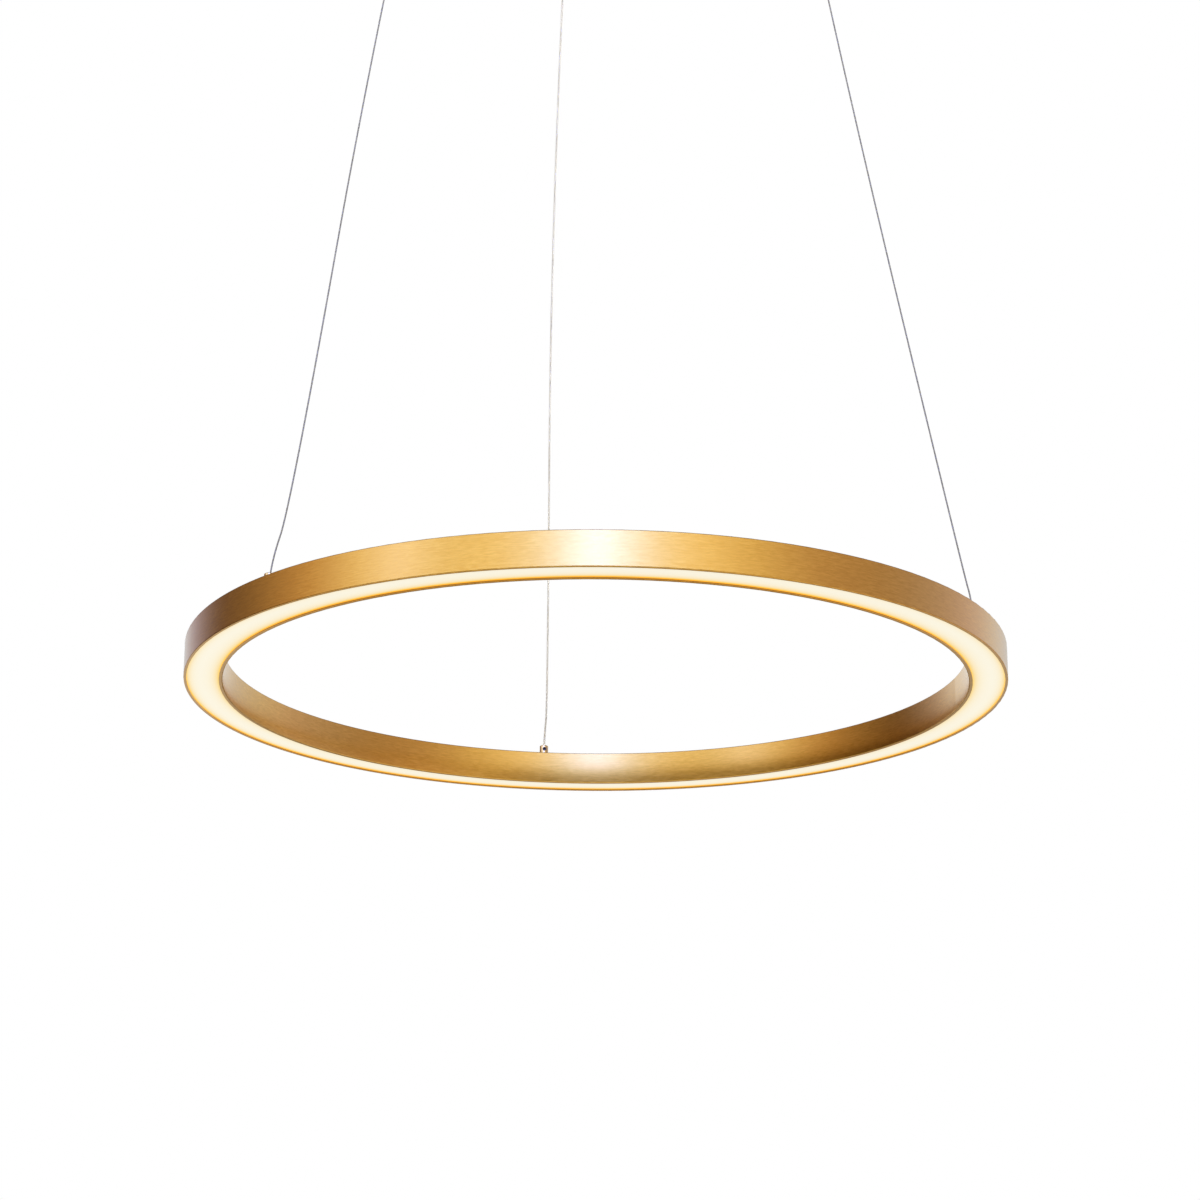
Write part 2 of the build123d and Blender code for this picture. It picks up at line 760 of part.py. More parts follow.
def ball_place(wire_diameter):
    """(distance from the wire's middle, Z) of the balls where they meet the wire and the cone."""
    distance = wire_diameter / 2 + ball_diameter / 2 + ball_clearance
    slope = (chamber_diameter - cone_small_diameter) / 2 / cone_height
    tilt = sqrt(1 + slope**2)
    needed = distance + (ball_diameter / 2 + ball_clearance) * tilt
    return distance, cone_bottom_z + (needed - cone_small_diameter / 2) / slope


def make_ball_cage(angle, wire_diameter):
    """Flanged tube that carries the balls; the spring pushes it down and the button pushes it up."""
    bore = wire_diameter / 2 + cage_bore_clearance
    stem = cage_diameter / 2
    flange = cage_flange_diameter / 2
    flange_under_z = cage_top_z - cage_flange_height
    stem_bottom = mouth_z + button_mouth_depth
    centre = outward(angle) * gripper_circle_radius + Vector(0, 0, ball_place(wire_diameter)[1])
    with BuildPart() as cage:
        with BuildSketch(half_section_plane(angle, gripper_circle_radius)):
            with BuildLine():
                Polyline(
                    (bore, stem_bottom),
                    (stem, stem_bottom),
                    (stem, flange_under_z),
                    (flange, flange_under_z),
                    (flange, cage_top_z),
                    (bore, cage_top_z),
                    close=True,
                )
            make_face()
        revolve(axis=upright_axis(angle, gripper_circle_radius))
        for k in range(balls_per_gripper):
            around = angle + k * 360 / balls_per_gripper
            with BuildSketch(Plane(origin=centre, x_dir=sideways(around), z_dir=outward(around))):
                Circle(ball_diameter / 2 + ball_hole_clearance)
            extrude(amount=flange, mode=Mode.SUBTRACT)
    return cage


def make_grip_balls(angle, wire_diameter):
    """Balls that the cone wedges against the wire."""
    distance, height = ball_place(wire_diameter)
    centre = outward(angle) * gripper_circle_radius + Vector(0, 0, height)
    with BuildPart() as balls:
        for k in range(balls_per_gripper):
            around = angle + k * 360 / balls_per_gripper
            with Locations(centre + outward(around) * distance):
                Sphere(ball_diameter / 2)
    return balls


def make_release_button(angle, wire_diameter):
    """Button under the gripper, pressed on to the cage's stem, with a mouth for the wire."""
    mouth = wire_diameter / 2 + gripper_cap_bore_clearance
    socket = cage_diameter / 2 + running_clearance / 2
    rim = button_diameter / 2
    socket_z = mouth_z + button_mouth_depth
    return turned(
        [
            (mouth, socket_z),
            (socket, socket_z),
            (socket, button_top_z),
            (rim - button_edge, button_top_z),
            (rim, button_top_z - button_edge),
            (rim, mouth_z + button_edge),
            (rim - button_edge, mouth_z),
            (button_mouth_diameter / 2, mouth_z),
        ],
        on_circle(gripper_circle_radius, [angle]),
    )


def make_return_spring(angle):
    """Coil spring between the cap and the cage's flange."""
    coil = spring_coil_diameter / 2
    wire = spring_wire_diameter / 2
    end_gap = running_clearance
    height = spring_length - 2 * (wire + end_gap)
    start = outward(angle) * gripper_circle_radius + Vector(0, 0, cage_top_z + wire + end_gap)
    with BuildPart() as spring:
        with BuildLine() as path:
            Helix(pitch=height / spring_turns, height=height, radius=coil, center=start)
        with BuildSketch(Plane(origin=path.line @ 0, z_dir=path.line % 0)):
            Circle(wire)
        sweep(path=path.line, is_frenet=True)
    return spring


# ---------------------------------------------------------------- cover and its screws
def make_canopy_cover():
    """Round cup over the ceiling fitting, with open slots for its screws and holes for the grippers."""
    with BuildPart() as cover:
        with BuildSketch(Plane.XZ) as section:
            with Locations((0, -canopy_height)):
                Rectangle(cover_outer_radius, canopy_height, align=(Align.MIN, Align.MIN))
            outer_edge = section.vertices().sort_by(Axis.Y)[:2].sort_by(Axis.X)[-1]
            fillet(outer_edge, cover_edge_radius)
            with BuildSketch(Plane.XZ, mode=Mode.SUBTRACT) as hollow:
                with Locations((0, cover_wall - canopy_height)):
                    Rectangle(cover_inner_radius, canopy_height - cover_wall, align=(Align.MIN, Align.MIN))
                inner_edge = hollow.vertices().sort_by(Axis.Y)[:2].sort_by(Axis.X)[-1]
                fillet(inner_edge, cover_edge_radius - cover_wall)
        revolve(axis=Axis.Z)
        with BuildSketch(Plane.XY.offset(-canopy_height)):
            for angle in hanging_angles.values():
                with Locations(outward(angle) * gripper_circle_radius):
                    Circle(gripper_diameter / 2 + cover_hole_gap)
        extrude(amount=cover_wall, mode=Mode.SUBTRACT)
        slot_width = cover_screw_diameter + 2 * cover_slot_clearance
        for angle in screw_angles:
            with BuildSketch(facing_plane(angle, plate_radius, -cover_screw_drop)):
                Circle(slot_width / 2)
                Rectangle(slot_width, cover_screw_drop, align=(Align.CENTER, Align.MIN))
            extrude(amount=cover_gap + 2 * cover_wall, mode=Mode.SUBTRACT)
    return cover


def make_cover_screw(angle):
    """Knurled thumb screw through the cover's slot into an ear of the plate."""
    head_radius = cover_screw_head_diameter / 2
    head_start = cover_outer_radius + cover_screw_head_gap
    shank_start = ear_outer_radius - ear_thickness - cover_screw_reach
    with BuildPart() as screw:
        with BuildSketch(facing_plane(angle, shank_start, -cover_screw_drop)):
            Circle(cover_screw_diameter / 2)
        extrude(amount=head_start - shank_start)
        with BuildSketch(facing_plane(angle, head_start, -cover_screw_drop)):
            Circle(head_radius)
            with PolarLocations(head_radius, cover_screw_knurls):
                Circle(cover_screw_knurl_radius, mode=Mode.SUBTRACT)
        extrude(amount=cover_screw_head_height)
        with BuildSketch(facing_plane(angle, head_start + cover_screw_head_height, -cover_screw_drop)):
            Rectangle(cover_screw_head_diameter, cover_screw_slot_width)
        extrude(amount=-cover_screw_slot_depth, mode=Mode.SUBTRACT)
    return screw


# ---------------------------------------------------------------- electrics in the ceiling fitting
def make_inlet_grommet():
    """Rubber bush for the building's cable, flush with the plate's top face."""
    bore = inlet_bore_diameter / 2
    body = inlet_hole_diameter / 2
    flange = inlet_flange_diameter / 2
    flange_z = plate_under_z - inlet_flange_height
    with BuildPart() as grommet:
        with BuildSketch():
            with Locations(inlet_place):
                Circle(body)
        extrude(amount=plate_under_z)
        with BuildSketch(Plane.XY.offset(plate_under_z)):
            with Locations(inlet_place):
                Circle(flange)
        extrude(amount=-inlet_flange_height)
        with BuildSketch():
            with Locations(inlet_place):
                Circle(bore)
        extrude(amount=flange_z, mode=Mode.SUBTRACT)
    return grommet


def make_terminal_block():
    """Insulating block with a hole along Y and a screw well from below for each pole."""
    with BuildPart() as block:
        with BuildSketch(Plane.XY.offset(plate_under_z)):
            with Locations(terminal_place):
                Rectangle(terminal_length, terminal_width)
        extrude(amount=-terminal_height)
        with BuildSketch(Plane.XZ.offset(-terminal_place[1])):
            for x in terminal_xs:
                with Locations((x, terminal_axis_z)):
                    Circle(terminal_hole_diameter / 2 + running_clearance)
        extrude(amount=terminal_width / 2, both=True, mode=Mode.SUBTRACT)
        with BuildSketch(Plane.XY.offset(plate_under_z - terminal_height)):
            for x in terminal_xs:
                with Locations((x, terminal_place[1])):
                    Circle(terminal_screw_diameter / 2 + assembly_clearance)
        extrude(amount=terminal_height - terminal_axis_drop, mode=Mode.SUBTRACT)
    return block


def make_terminal_barrels():
    """Brass barrels that join the wires, tapped from below for the clamping screws."""
    with BuildPart() as barrels:
        with BuildSketch(Plane.XZ.offset(-terminal_place[1])):
            for x in terminal_xs:
                with Locations((x, terminal_axis_z)):
                    Circle(terminal_hole_diameter / 2)
                    Circle(barrel_bore_diameter / 2, mode=Mode.SUBTRACT)
        extrude(amount=barrel_length / 2, both=True)
        with BuildSketch(Plane.XY.offset(terminal_axis_z)):
            for x in terminal_xs:
                with Locations((x, terminal_place[1])):
                    Circle(terminal_screw_diameter / 2 + running_clearance)
        extrude(amount=-terminal_hole_diameter, mode=Mode.SUBTRACT)
    return barrels


def make_terminal_screws():
    """Clamping screws in the block's wells."""
    tip_z = terminal_axis_z - lead_diameter / 2 - terminal_screw_tip_gap
    with BuildPart() as screws:
        with BuildSketch(Plane.XY.offset(tip_z)):
            for x in terminal_xs:
                with Locations((x, terminal_place[1])):
                    Circle(terminal_screw_diameter / 2)
        extrude(amount=-terminal_screw_length)
    return screws


def make_earth_screw():
    """Earth screw in the plate, with its head under the lug."""
    head_top_z = plate_under_z - earth_lug_thickness
    with BuildPart() as screw:
        with BuildSketch():
            with Locations(earth_place):
                Circle(earth_screw_diameter / 2)
        extrude(amount=head_top_z)
        with BuildSketch(Plane.XY.offset(head_top_z)):
            with Locations(earth_place):
                Circle(earth_head_diameter / 2)
        extrude(amount=-earth_head_height)
    return screw


def make_earth_lug():
    """Ring lug under the plate with a crimped barrel for the earth lead."""
    barrel_start = earth_place[1] - earth_lug_diameter / 2
    barrel_radius = earth_barrel_diameter / 2
    with BuildPart() as lug:
        with BuildSketch(Plane.XY.offset(plate_under_z)):
            with Locations(earth_place):
                Circle(earth_lug_diameter / 2)
            with Locations((earth_place[0], barrel_start)):
                Rectangle(earth_barrel_diameter, earth_barrel_length)
            with Locations(earth_place):
                Circle(earth_screw_diameter / 2 + assembly_clearance, mode=Mode.SUBTRACT)
        extrude(amount=-earth_lug_thickness)
        with BuildSketch(Plane.XZ.offset(-barrel_start)):
            with Locations((earth_place[0], plate_under_z - barrel_radius)):
                Circle(barrel_radius)
        extrude(amount=earth_barrel_length)
        with BuildSketch(Plane.XZ.offset(-barrel_start)):
            with Locations((earth_place[0], plate_under_z - barrel_radius)):
                Circle(lead_diameter / 2 + running_clearance)
        extrude(amount=earth_barrel_length, mode=Mode.SUBTRACT)
    return lug


def make_mains_leads():
    """Live and neutral leads to the driver and the earth lead to its lug."""
    with BuildPart() as leads:
        for points in mains_routes + [earth_route]:
            radii = bend_radii(points)
            with BuildLine() as path:
                FilletPolyline(*points, radius=radii)
            with BuildSketch(Plane(origin=path.line @ 0, z_dir=path.line % 0)):
                Circle(lead_diameter / 2)
            sweep(path=path.line)
    return leads


def make_driver_base():
    """Driver's base against the plate, with a screw lug at each end and posts for the board."""
    lug_x = driver_length / 2 + driver_lug_length / 2
    post_x = driver_length / 2 - driver_case_wall - driver_board_gap - driver_post_inset
    post_y = driver_width / 2 - driver_case_wall - driver_board_gap - driver_post_inset
    with BuildPart() as base:
        with BuildSketch(Plane.XY.offset(plate_under_z)):
            with Locations(driver_place):
                RectangleRounded(driver_length, driver_width, driver_case_radius)
                Rectangle(driver_length + 2 * driver_lug_length, driver_lug_width)
                with GridLocations(2 * lug_x, 0, 2, 1):
                    Circle(driver_screw_diameter / 2 + assembly_clearance, mode=Mode.SUBTRACT)
        extrude(amount=-driver_base_thickness)
        with BuildSketch(Plane.XY.offset(driver_case_top_z)):
            with Locations(driver_place):
                with GridLocations(2 * post_x, 2 * post_y, 2, 2):
                    Circle(driver_post_diameter / 2)
        extrude(amount=-driver_post_height)
    return base


def make_driver_case():
    """Driver's case, open towards its base, with holes for the leads and the feed cable."""
    case_height = driver_case_top_z - driver_bottom_z
    with BuildPart() as case:
        with BuildSketch(Plane.XY.offset(driver_case_top_z)):
            with Locations(driver_place):
                RectangleRounded(driver_length, driver_width, driver_case_radius)
        extrude(amount=-case_height)
        with BuildSketch(Plane.XY.offset(driver_case_top_z)):
            with Locations(driver_place):
                Rectangle(driver_length - 2 * driver_case_wall, driver_width - 2 * driver_case_wall)
        extrude(amount=driver_case_wall - case_height, mode=Mode.SUBTRACT)
        with BuildSketch(Plane.YZ.offset(driver_input_x)):
            with Locations((live_lead_y, lead_entry_z), (neutral_lead_y, lead_entry_z)):
                Circle(lead_diameter / 2 + lead_hole_clearance)
        extrude(amount=driver_case_wall, mode=Mode.SUBTRACT)
        with BuildSketch(Plane.YZ.offset(driver_output_x)):
            with Locations((feed_route[-1][1], feed_route[-1][2])):
                Circle(feed_cable_diameter / 2 + lead_hole_clearance)
        extrude(amount=-driver_case_wall, mode=Mode.SUBTRACT)
        fillet(case.faces().sort_by(Axis.Z)[0].edges(), driver_case_wall / 2)
    return case


def make_driver_board():
    """Driver's circuit board on the base's posts."""
    inner = 2 * (driver_case_wall + driver_board_gap)
    with BuildPart() as board:
        with BuildSketch(Plane.XY.offset(driver_case_top_z - driver_post_height)):
            with Locations(driver_place):
                Rectangle(driver_length - inner - 2 * driver_board_end_gap, driver_width - inner)
        extrude(amount=-driver_board_thickness)
    return board


def make_driver_components():
    """Transformer, choke and capacitors on the driver's board."""
    board_under_z = driver_case_top_z - driver_post_height - driver_board_thickness
    room = board_under_z - driver_bottom_z - driver_case_wall
    x, y = driver_place
    with BuildPart() as components:
        with BuildSketch(Plane.XY.offset(board_under_z)):
            for (dx, dy), (length, width) in (transformer, choke):
                with Locations((x + dx, y + dy)):
                    Rectangle(length, width)
        extrude(amount=-room * tall_share)
        with BuildSketch(Plane.XY.offset(board_under_z)):
            for (dx, dy), radius in capacitors:
                with Locations((x + dx, y + dy)):
                    Circle(radius)
        extrude(amount=-room * middle_share)
        with BuildSketch(Plane.XY.offset(board_under_z)):
            for (dx, dy), (length, width) in (heat_plate, fuse):
                with Locations((x + dx, y + dy)):
                    Rectangle(length, width)
        extrude(amount=-room * low_share)
    return components


def make_driver_screws():
    """Pan-headed screws through the driver's lugs."""
    lug_x = driver_length / 2 + driver_lug_length / 2
    with BuildPart() as screws:
        with BuildSketch():
            with Locations(driver_place):
                with GridLocations(2 * lug_x, 0, 2, 1):
                    Circle(driver_screw_diameter / 2)
        extrude(amount=driver_case_top_z)
        with BuildSketch(Plane.XY.offset(driver_case_top_z)):
            with Locations(driver_place):
                with GridLocations(2 * lug_x, 0, 2, 1):
                    Circle(driver_screw_head_diameter / 2)
        extrude(amount=-driver_screw_head_height, taper=driver_screw_head_taper)
    return screws


# ---------------------------------------------------------------- build and write every piece
os.makedirs("parts", exist_ok=True)

ring_places = on_circle(socket_circle_radius, hanging_angles.values())
gripper_places = on_circle(gripper_circle_radius, hanging_angles.values())

write(make_ring_profile(), "ring_profile")
write(make_diffuser(), "diffuser")
write(make_led_strip(), "led_strip")
write(make_led_chips(), "led_chips")
write(make_strip_connector(), "strip_connector")
write(make_feed_cores(), "feed_cores")
write(make_socket_grubs(), "socket_grubs")
write(make_socket_washers(), "socket_washers")
write(
    hex_nuts(
        roof_under_z - washer_thickness,
        socket_nut_height,
        socket_nut_flats,
        socket_stem_diameter / 2 + running_clearance,
        ring_places,
    ),
    "socket_nuts",
)

write(make_ceiling_plate(), "ceiling_plate")
write(make_bracket_rivets(), "bracket_rivets")
write(
    hex_nuts(
        bridge_top_z + gripper_nut_height,
        gripper_nut_height,
        gripper_nut_flats,
        gripper_diameter / 2 + running_clearance,
        gripper_places,
    ),
    "gripper_nuts",
)

for where, angle in hanging_angles.items():
    wire = wire_diameters[where]
    write(make_ring_socket(angle, wire), f"ring_socket_{where}")
    write(make_wire_stop(angle), f"wire_stop_{where}")
    write(make_hanger_bracket(angle), f"hanger_bracket_{where}")
    write(make_gripper_body(angle), f"gripper_body_{where}")
    write(make_gripper_cap(angle, wire), f"gripper_cap_{where}")
    write(make_ball_cage(angle, wire), f"ball_cage_{where}")
    write(make_grip_balls(angle, wire), f"grip_balls_{where}")
    write(make_release_button(angle, wire), f"release_button_{where}")
    write(make_return_spring(angle), f"return_spring_{where}")

write(tube("feed_cable", feed_route, feed_cable_diameter), "feed_cable")
left_points = in_plane_of(hanging_angles["left"], steel_left_route)
write(tube("steel_wire_left", left_points, steel_wire_diameter), "steel_wire_left")
right_points = in_plane_of(hanging_angles["right"], steel_right_route)
write(tube("steel_wire_right", right_points, steel_wire_diameter), "steel_wire_right")

write(make_canopy_cover(), "canopy_cover")
for number, angle in enumerate(screw_angles, 1):
    write(make_cover_screw(angle), f"cover_screw_{number}")

write(make_inlet_grommet(), "inlet_grommet")
write(make_terminal_block(), "terminal_block")
write(make_terminal_barrels(), "terminal_barrels")
write(make_terminal_screws(), "terminal_screws")
write(make_earth_screw(), "earth_screw")
write(make_earth_lug(), "earth_lug")
write(make_mains_leads(), "mains_leads")
write(make_driver_base(), "driver_base")
write(make_driver_case(), "driver_case")
write(make_driver_board(), "driver_board")
write(make_driver_components(), "driver_components")
write(make_driver_screws(), "driver_screws")
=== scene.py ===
import json
from math import cos, pi, radians, sin, tau

import bmesh
import bpy
from mathutils import Matrix, Vector


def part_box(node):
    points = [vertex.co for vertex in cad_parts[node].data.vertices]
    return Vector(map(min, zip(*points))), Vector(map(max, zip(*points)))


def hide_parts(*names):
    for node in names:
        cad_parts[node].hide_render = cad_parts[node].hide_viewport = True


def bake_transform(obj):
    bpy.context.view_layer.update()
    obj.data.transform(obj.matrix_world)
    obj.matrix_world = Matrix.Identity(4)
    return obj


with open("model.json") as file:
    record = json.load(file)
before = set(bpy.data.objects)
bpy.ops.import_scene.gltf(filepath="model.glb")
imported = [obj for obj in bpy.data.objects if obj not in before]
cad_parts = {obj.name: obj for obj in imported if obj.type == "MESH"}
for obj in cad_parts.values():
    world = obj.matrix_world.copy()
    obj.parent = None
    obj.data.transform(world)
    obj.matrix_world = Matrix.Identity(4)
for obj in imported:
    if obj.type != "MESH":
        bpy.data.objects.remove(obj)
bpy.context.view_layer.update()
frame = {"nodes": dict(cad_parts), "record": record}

nodes = frame["nodes"]
scene = bpy.context.scene
scene.view_settings.view_transform = "Standard"

ring_low, ring_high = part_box("ring_profile")
ring_outer = ring_high.x
ring_top = ring_high.z
ring_bottom = ring_low.z
profile_width = 0.028
ring_inner = ring_outer - profile_width
inner_bow = 0.34                 # slope of the inner wall's lower edge

# ---------------------------------------------------------------- camera, at the photograph's angle
photo_turn = radians(-8.63)      # the wires' circle, turned against the camera's own azimuth
camera_distance = 2.0922
camera_drop = 0.587              # below the ring's lower rim
camera_pitch = 0.30508
camera_yaw = 0.00135
camera_roll = 0.00397
camera_lens = 88.82

turn = Matrix.Rotation(photo_turn, 4, "Z")
place = turn @ Vector((0.0, -camera_distance, ring_bottom - camera_drop))
forward = turn @ Vector((
    sin(camera_yaw) * cos(camera_pitch),
    cos(camera_yaw) * cos(camera_pitch),
    sin(camera_pitch),
))
right = turn @ Vector((cos(camera_yaw), -sin(camera_yaw), 0.0))
up = right.cross(forward)
level_right = right * cos(camera_roll) + up * sin(camera_roll)
level_up = up * cos(camera_roll) - right * sin(camera_roll)

lens = bpy.data.cameras.new("camera")
lens.lens = camera_lens
lens.sensor_width = 36.0
camera = bpy.data.objects.new("camera", lens)
scene.collection.objects.link(camera)
camera.matrix_world = Matrix((
    (level_right.x, level_up.x, -forward.x, place.x),
    (level_right.y, level_up.y, -forward.y, place.y),
    (level_right.z, level_up.z, -forward.z, place.z),
    (0.0, 0.0, 0.0, 1.0),
))
scene.camera = camera


# ---------------------------------------------------------------- node helpers
def material(name):
    made = bpy.data.materials.new(name)
    made.use_nodes = True
    return made, made.node_tree, made.node_tree.nodes["Principled BSDF"]


def add(tree, kind, inputs=None, **settings):
    """Adds a node; an input is a plain value or another node's socket."""
    made = tree.nodes.new(kind)
    for key, value in settings.items():
        setattr(made, key, value)
    for key, value in (inputs or {}).items():
        if isinstance(value, bpy.types.NodeSocket):
            tree.links.new(value, made.inputs[key])
        else:
            made.inputs[key].default_value = value
    return made


def maths(tree, operation, *values):
    return add(tree, "ShaderNodeMath", dict(enumerate(values)), operation=operation).outputs[0]


def product(tree, first, *others):
    for other in others:
        first = maths(tree, "MULTIPLY", first, other)
    return first


def above(tree, value, limit):
    return maths(tree, "GREATER_THAN", value, limit)


def below(tree, value, limit):
    return maths(tree, "LESS_THAN", value, limit)


def spread(tree, value, low, high, low_in=0.0, high_in=1.0):
    """low to high, as value goes from low_in to high_in, and level beyond them."""
    inputs = {"Value": value, "From Min": low_in, "From Max": high_in, "To Min": low, "To Max": high}
    return add(tree, "ShaderNodeMapRange", inputs).outputs[0]


def mixed(tree, factor, a, b):
    inputs = {0: factor, 6: a, 7: b}
    return add(tree, "ShaderNodeMix", inputs, data_type="RGBA").outputs[2]


def noise(tree, vector, scale, detail=3.0, roughness=0.55, w=None):
    inputs = {"Vector": vector, "Scale": scale, "Detail": detail, "Roughness": roughness}
    if w is None:
        return add(tree, "ShaderNodeTexNoise", inputs).outputs[0]
    inputs["W"] = w
    return add(tree, "ShaderNodeTexNoise", inputs, noise_dimensions="4D").outputs[0]


def bumped(tree, height, distance, strength=1.0):
    inputs = {"Height": height, "Distance": distance, "Strength": strength}
    return add(tree, "ShaderNodeBump", inputs).outputs[0]


def wire_up(tree, shader, **sockets):
    for key, value in sockets.items():
        tree.links.new(value, shader.inputs[key.replace("_", " ")])


def here(tree):
    return add(tree, "ShaderNodeTexCoord").outputs["Object"]


def parts_of(tree, vector):
    return add(tree, "ShaderNodeSeparateXYZ", {0: vector}).outputs


def round_grain(tree, across, along):
    """Noise drawn out round the Z axis: across is its pitch, along the turns that a streak lasts."""
    spot = here(tree)
    flat = add(tree, "ShaderNodeVectorMath", {0: spot, 1: (1.0, 1.0, 0.0)}, operation="MULTIPLY")
    radius = add(tree, "ShaderNodeVectorMath", {0: flat.outputs[0]}, operation="LENGTH").outputs["Value"]
    way = add(tree, "ShaderNodeVectorMath", {0: flat.outputs[0]}, operation="NORMALIZE").outputs[0]
    way = parts_of(tree, way)
    height = parts_of(tree, spot)["Z"]
    vector = add(tree, "ShaderNodeCombineXYZ", {
        "X": maths(tree, "DIVIDE", radius, across),
        "Y": maths(tree, "DIVIDE", height, across),
        "Z": maths(tree, "DIVIDE", way["X"], along),
    }).outputs[0]
    return vector, maths(tree, "DIVIDE", way["Y"], along), radius, height


# ---------------------------------------------------------------- materials
def brushed_gold():
    """Anodised gold brushed round the Z axis, under a thin clear seal.

    The inner wall is bowed a little. The channel's lips carry painted shade at their ends and a painted glow
    of the diffuser's light above that, and the rims of the top face carry painted shade.
    """
    deep = (0.71, 0.362, 0.051, 1)
    light = (0.89, 0.50, 0.092, 1)
    cloudy = (0.77, 0.41, 0.07, 1)
    shade = (0.24, 0.10, 0.012, 1)
    unlit = (0.0, 0.0, 0.0, 1)
    lamplight = (0.62, 0.30, 0.02, 1)
    face_depth = 0.0004              # from the walls' outer faces to where the lips start
    rim_width = 0.0007
    lip_start = ring_bottom + 0.0003
    shade_full = ring_bottom + 0.0006
    shade_stop = ring_bottom + 0.0012
    lamp_full = ring_bottom + 0.0015
    lamp_stop = ring_bottom + 0.0030
    edge_start = ring_top - 0.0009
    edge_full = ring_top - 0.0003
    bow_share = -inner_bow / (ring_top - ring_bottom) ** 2 / 3

    made, tree, shader = material("brushed_gold")
    fine_vector, fine_w, radius, height = round_grain(tree, 0.00035, 0.12)
    short_vector, short_w, _, _ = round_grain(tree, 0.0010, 0.022)
    fine = noise(tree, fine_vector, 1.0, 4.0, 0.65, fine_w)
    short = noise(tree, short_vector, 1.0, 3.0, 0.6, short_w)
    cloud = noise(tree, here(tree), 60.0, 3.0)
    streaks = maths(tree, "ADD", product(tree, fine, 0.4), product(tree, short, 0.6))
    colour = mixed(tree, spread(tree, streaks, 0.0, 1.0, 0.40, 0.60), deep, light)
    colour = mixed(tree, spread(tree, cloud, 0.0, 0.4, 0.35, 0.65), colour, cloudy)

    lip = product(
        tree,
        above(tree, radius, ring_inner + face_depth),
        below(tree, radius, ring_outer - face_depth),
        above(tree, height, lip_start),
    )
    # painted shade: the lips darken towards their ends, beside the diffuser
    dark = product(tree, lip, spread(tree, height, 0.9, 0.0, shade_full, shade_stop))
    # painted light: above that, the lips glow with the diffuser's light, sent out as emission
    lit = product(
        tree, lip,
        spread(tree, height, 0.0, 1.0, shade_full, lamp_full),
        below(tree, height, lamp_stop),
    )
    rim = maths(
        tree, "MAXIMUM",
        above(tree, radius, ring_outer - rim_width),
        below(tree, radius, ring_inner + rim_width),
    )
    # painted shade on the rims of the top face
    rim_shade = product(tree, rim, spread(tree, height, 0.0, 0.7, edge_start, edge_full))
    colour = mixed(tree, maths(tree, "MAXIMUM", dark, rim_shade), colour, shade)

    drop = maths(tree, "SUBTRACT", ring_top, height)
    bow = product(
        tree,
        maths(tree, "POWER", drop, 3.0),
        bow_share,
        below(tree, radius, ring_inner + 0.0003),
        above(tree, radius, ring_inner - 0.01),
    )
    bowed = bumped(tree, bow, 1.0)
    grain = add(tree, "ShaderNodeBump", {
        "Height": fine, "Distance": 0.00002, "Strength": 0.8, "Normal": bowed,
    })
    wire_up(
        tree, shader,
        Base_Color=colour,
        # the painted glow of the diffuser's light on the lips
        Emission_Color=mixed(tree, lit, unlit, lamplight),
        Roughness=spread(tree, streaks, 0.30, 0.40, 0.33, 0.67),
        Normal=grain.outputs[0],
        Coat_Normal=bowed,
        Tangent=add(tree, "ShaderNodeTangent", direction_type="RADIAL", axis="Z").outputs[0],
    )
    shader.inputs["Metallic"].default_value = 1.0
    shader.inputs["Anisotropic"].default_value = 0.6
    shader.inputs["Anisotropic Rotation"].default_value = 0.25
    shader.inputs["Coat Weight"].default_value = 0.6
    shader.inputs["Coat Roughness"].default_value = 0.22
    shader.inputs["Emission Strength"].default_value = 1.0
    return made


def turned_metal(name, pale, deep, low, high, pitch, bump=0.00001):
    """Metal with fine rings from turning, and a faint stain."""
    made, tree, shader = material(name)
    spot = here(tree)
    rings = add(tree, "ShaderNodeCombineXYZ", {"Z": parts_of(tree, spot)["Z"]}).outputs[0]
    lines = noise(tree, rings, 1.0 / pitch, 2.0, 0.7)
    stain = noise(tree, spot, 240.0, 3.0)
    colour = mixed(tree, spread(tree, stain, 0.0, 1.0, 0.35, 0.65), pale, deep)
    wire_up(
        tree, shader,
        Base_Color=colour,
        Roughness=spread(tree, lines, low, high, 0.3, 0.7),
        Normal=bumped(tree, lines, bump, 0.6),
    )
    shader.inputs["Metallic"].default_value = 1.0
    return made


def plated_steel(name, pale, deep, low, high):
    """Zinc-plated or tinned sheet: fine crystals with soft clouds."""
    made, tree, shader = material(name)
    spot = here(tree)
    crystals = add(tree, "ShaderNodeTexVoronoi", {"Vector": spot, "Scale": 420.0}).outputs["Distance"]
    cloud = noise(tree, spot, 60.0, 4.0)
    rolled = noise(tree, spot, 900.0, 2.0)
    colour = mixed(tree, spread(tree, cloud, 0.0, 1.0, 0.35, 0.65), pale, deep)
    wire_up(
        tree, shader,
        Base_Color=colour,
        Roughness=spread(tree, crystals, low, high, 0.0, 0.8),
        Normal=bumped(tree, rolled, 0.00001, 0.4),
    )
    shader.inputs["Metallic"].default_value = 1.0
    return made


def moulded(name, pale, deep, roughness, grain, bump=0.00002):
    """Plastic or rubber with a fine moulded texture and slight clouds of colour."""
    made, tree, shader = material(name)
    spot = here(tree)
    texture = noise(tree, spot, grain, 3.0, 0.6)
    cloud = noise(tree, spot, 55.0, 3.0)
    wire_up(
        tree, shader,
        Base_Color=mixed(tree, spread(tree, cloud, 0.0, 1.0, 0.35, 0.65), pale, deep),
        Roughness=spread(tree, texture, roughness - 0.06, roughness + 0.08, 0.3, 0.7),
        Normal=bumped(tree, texture, bump, 0.5),
    )
    return made


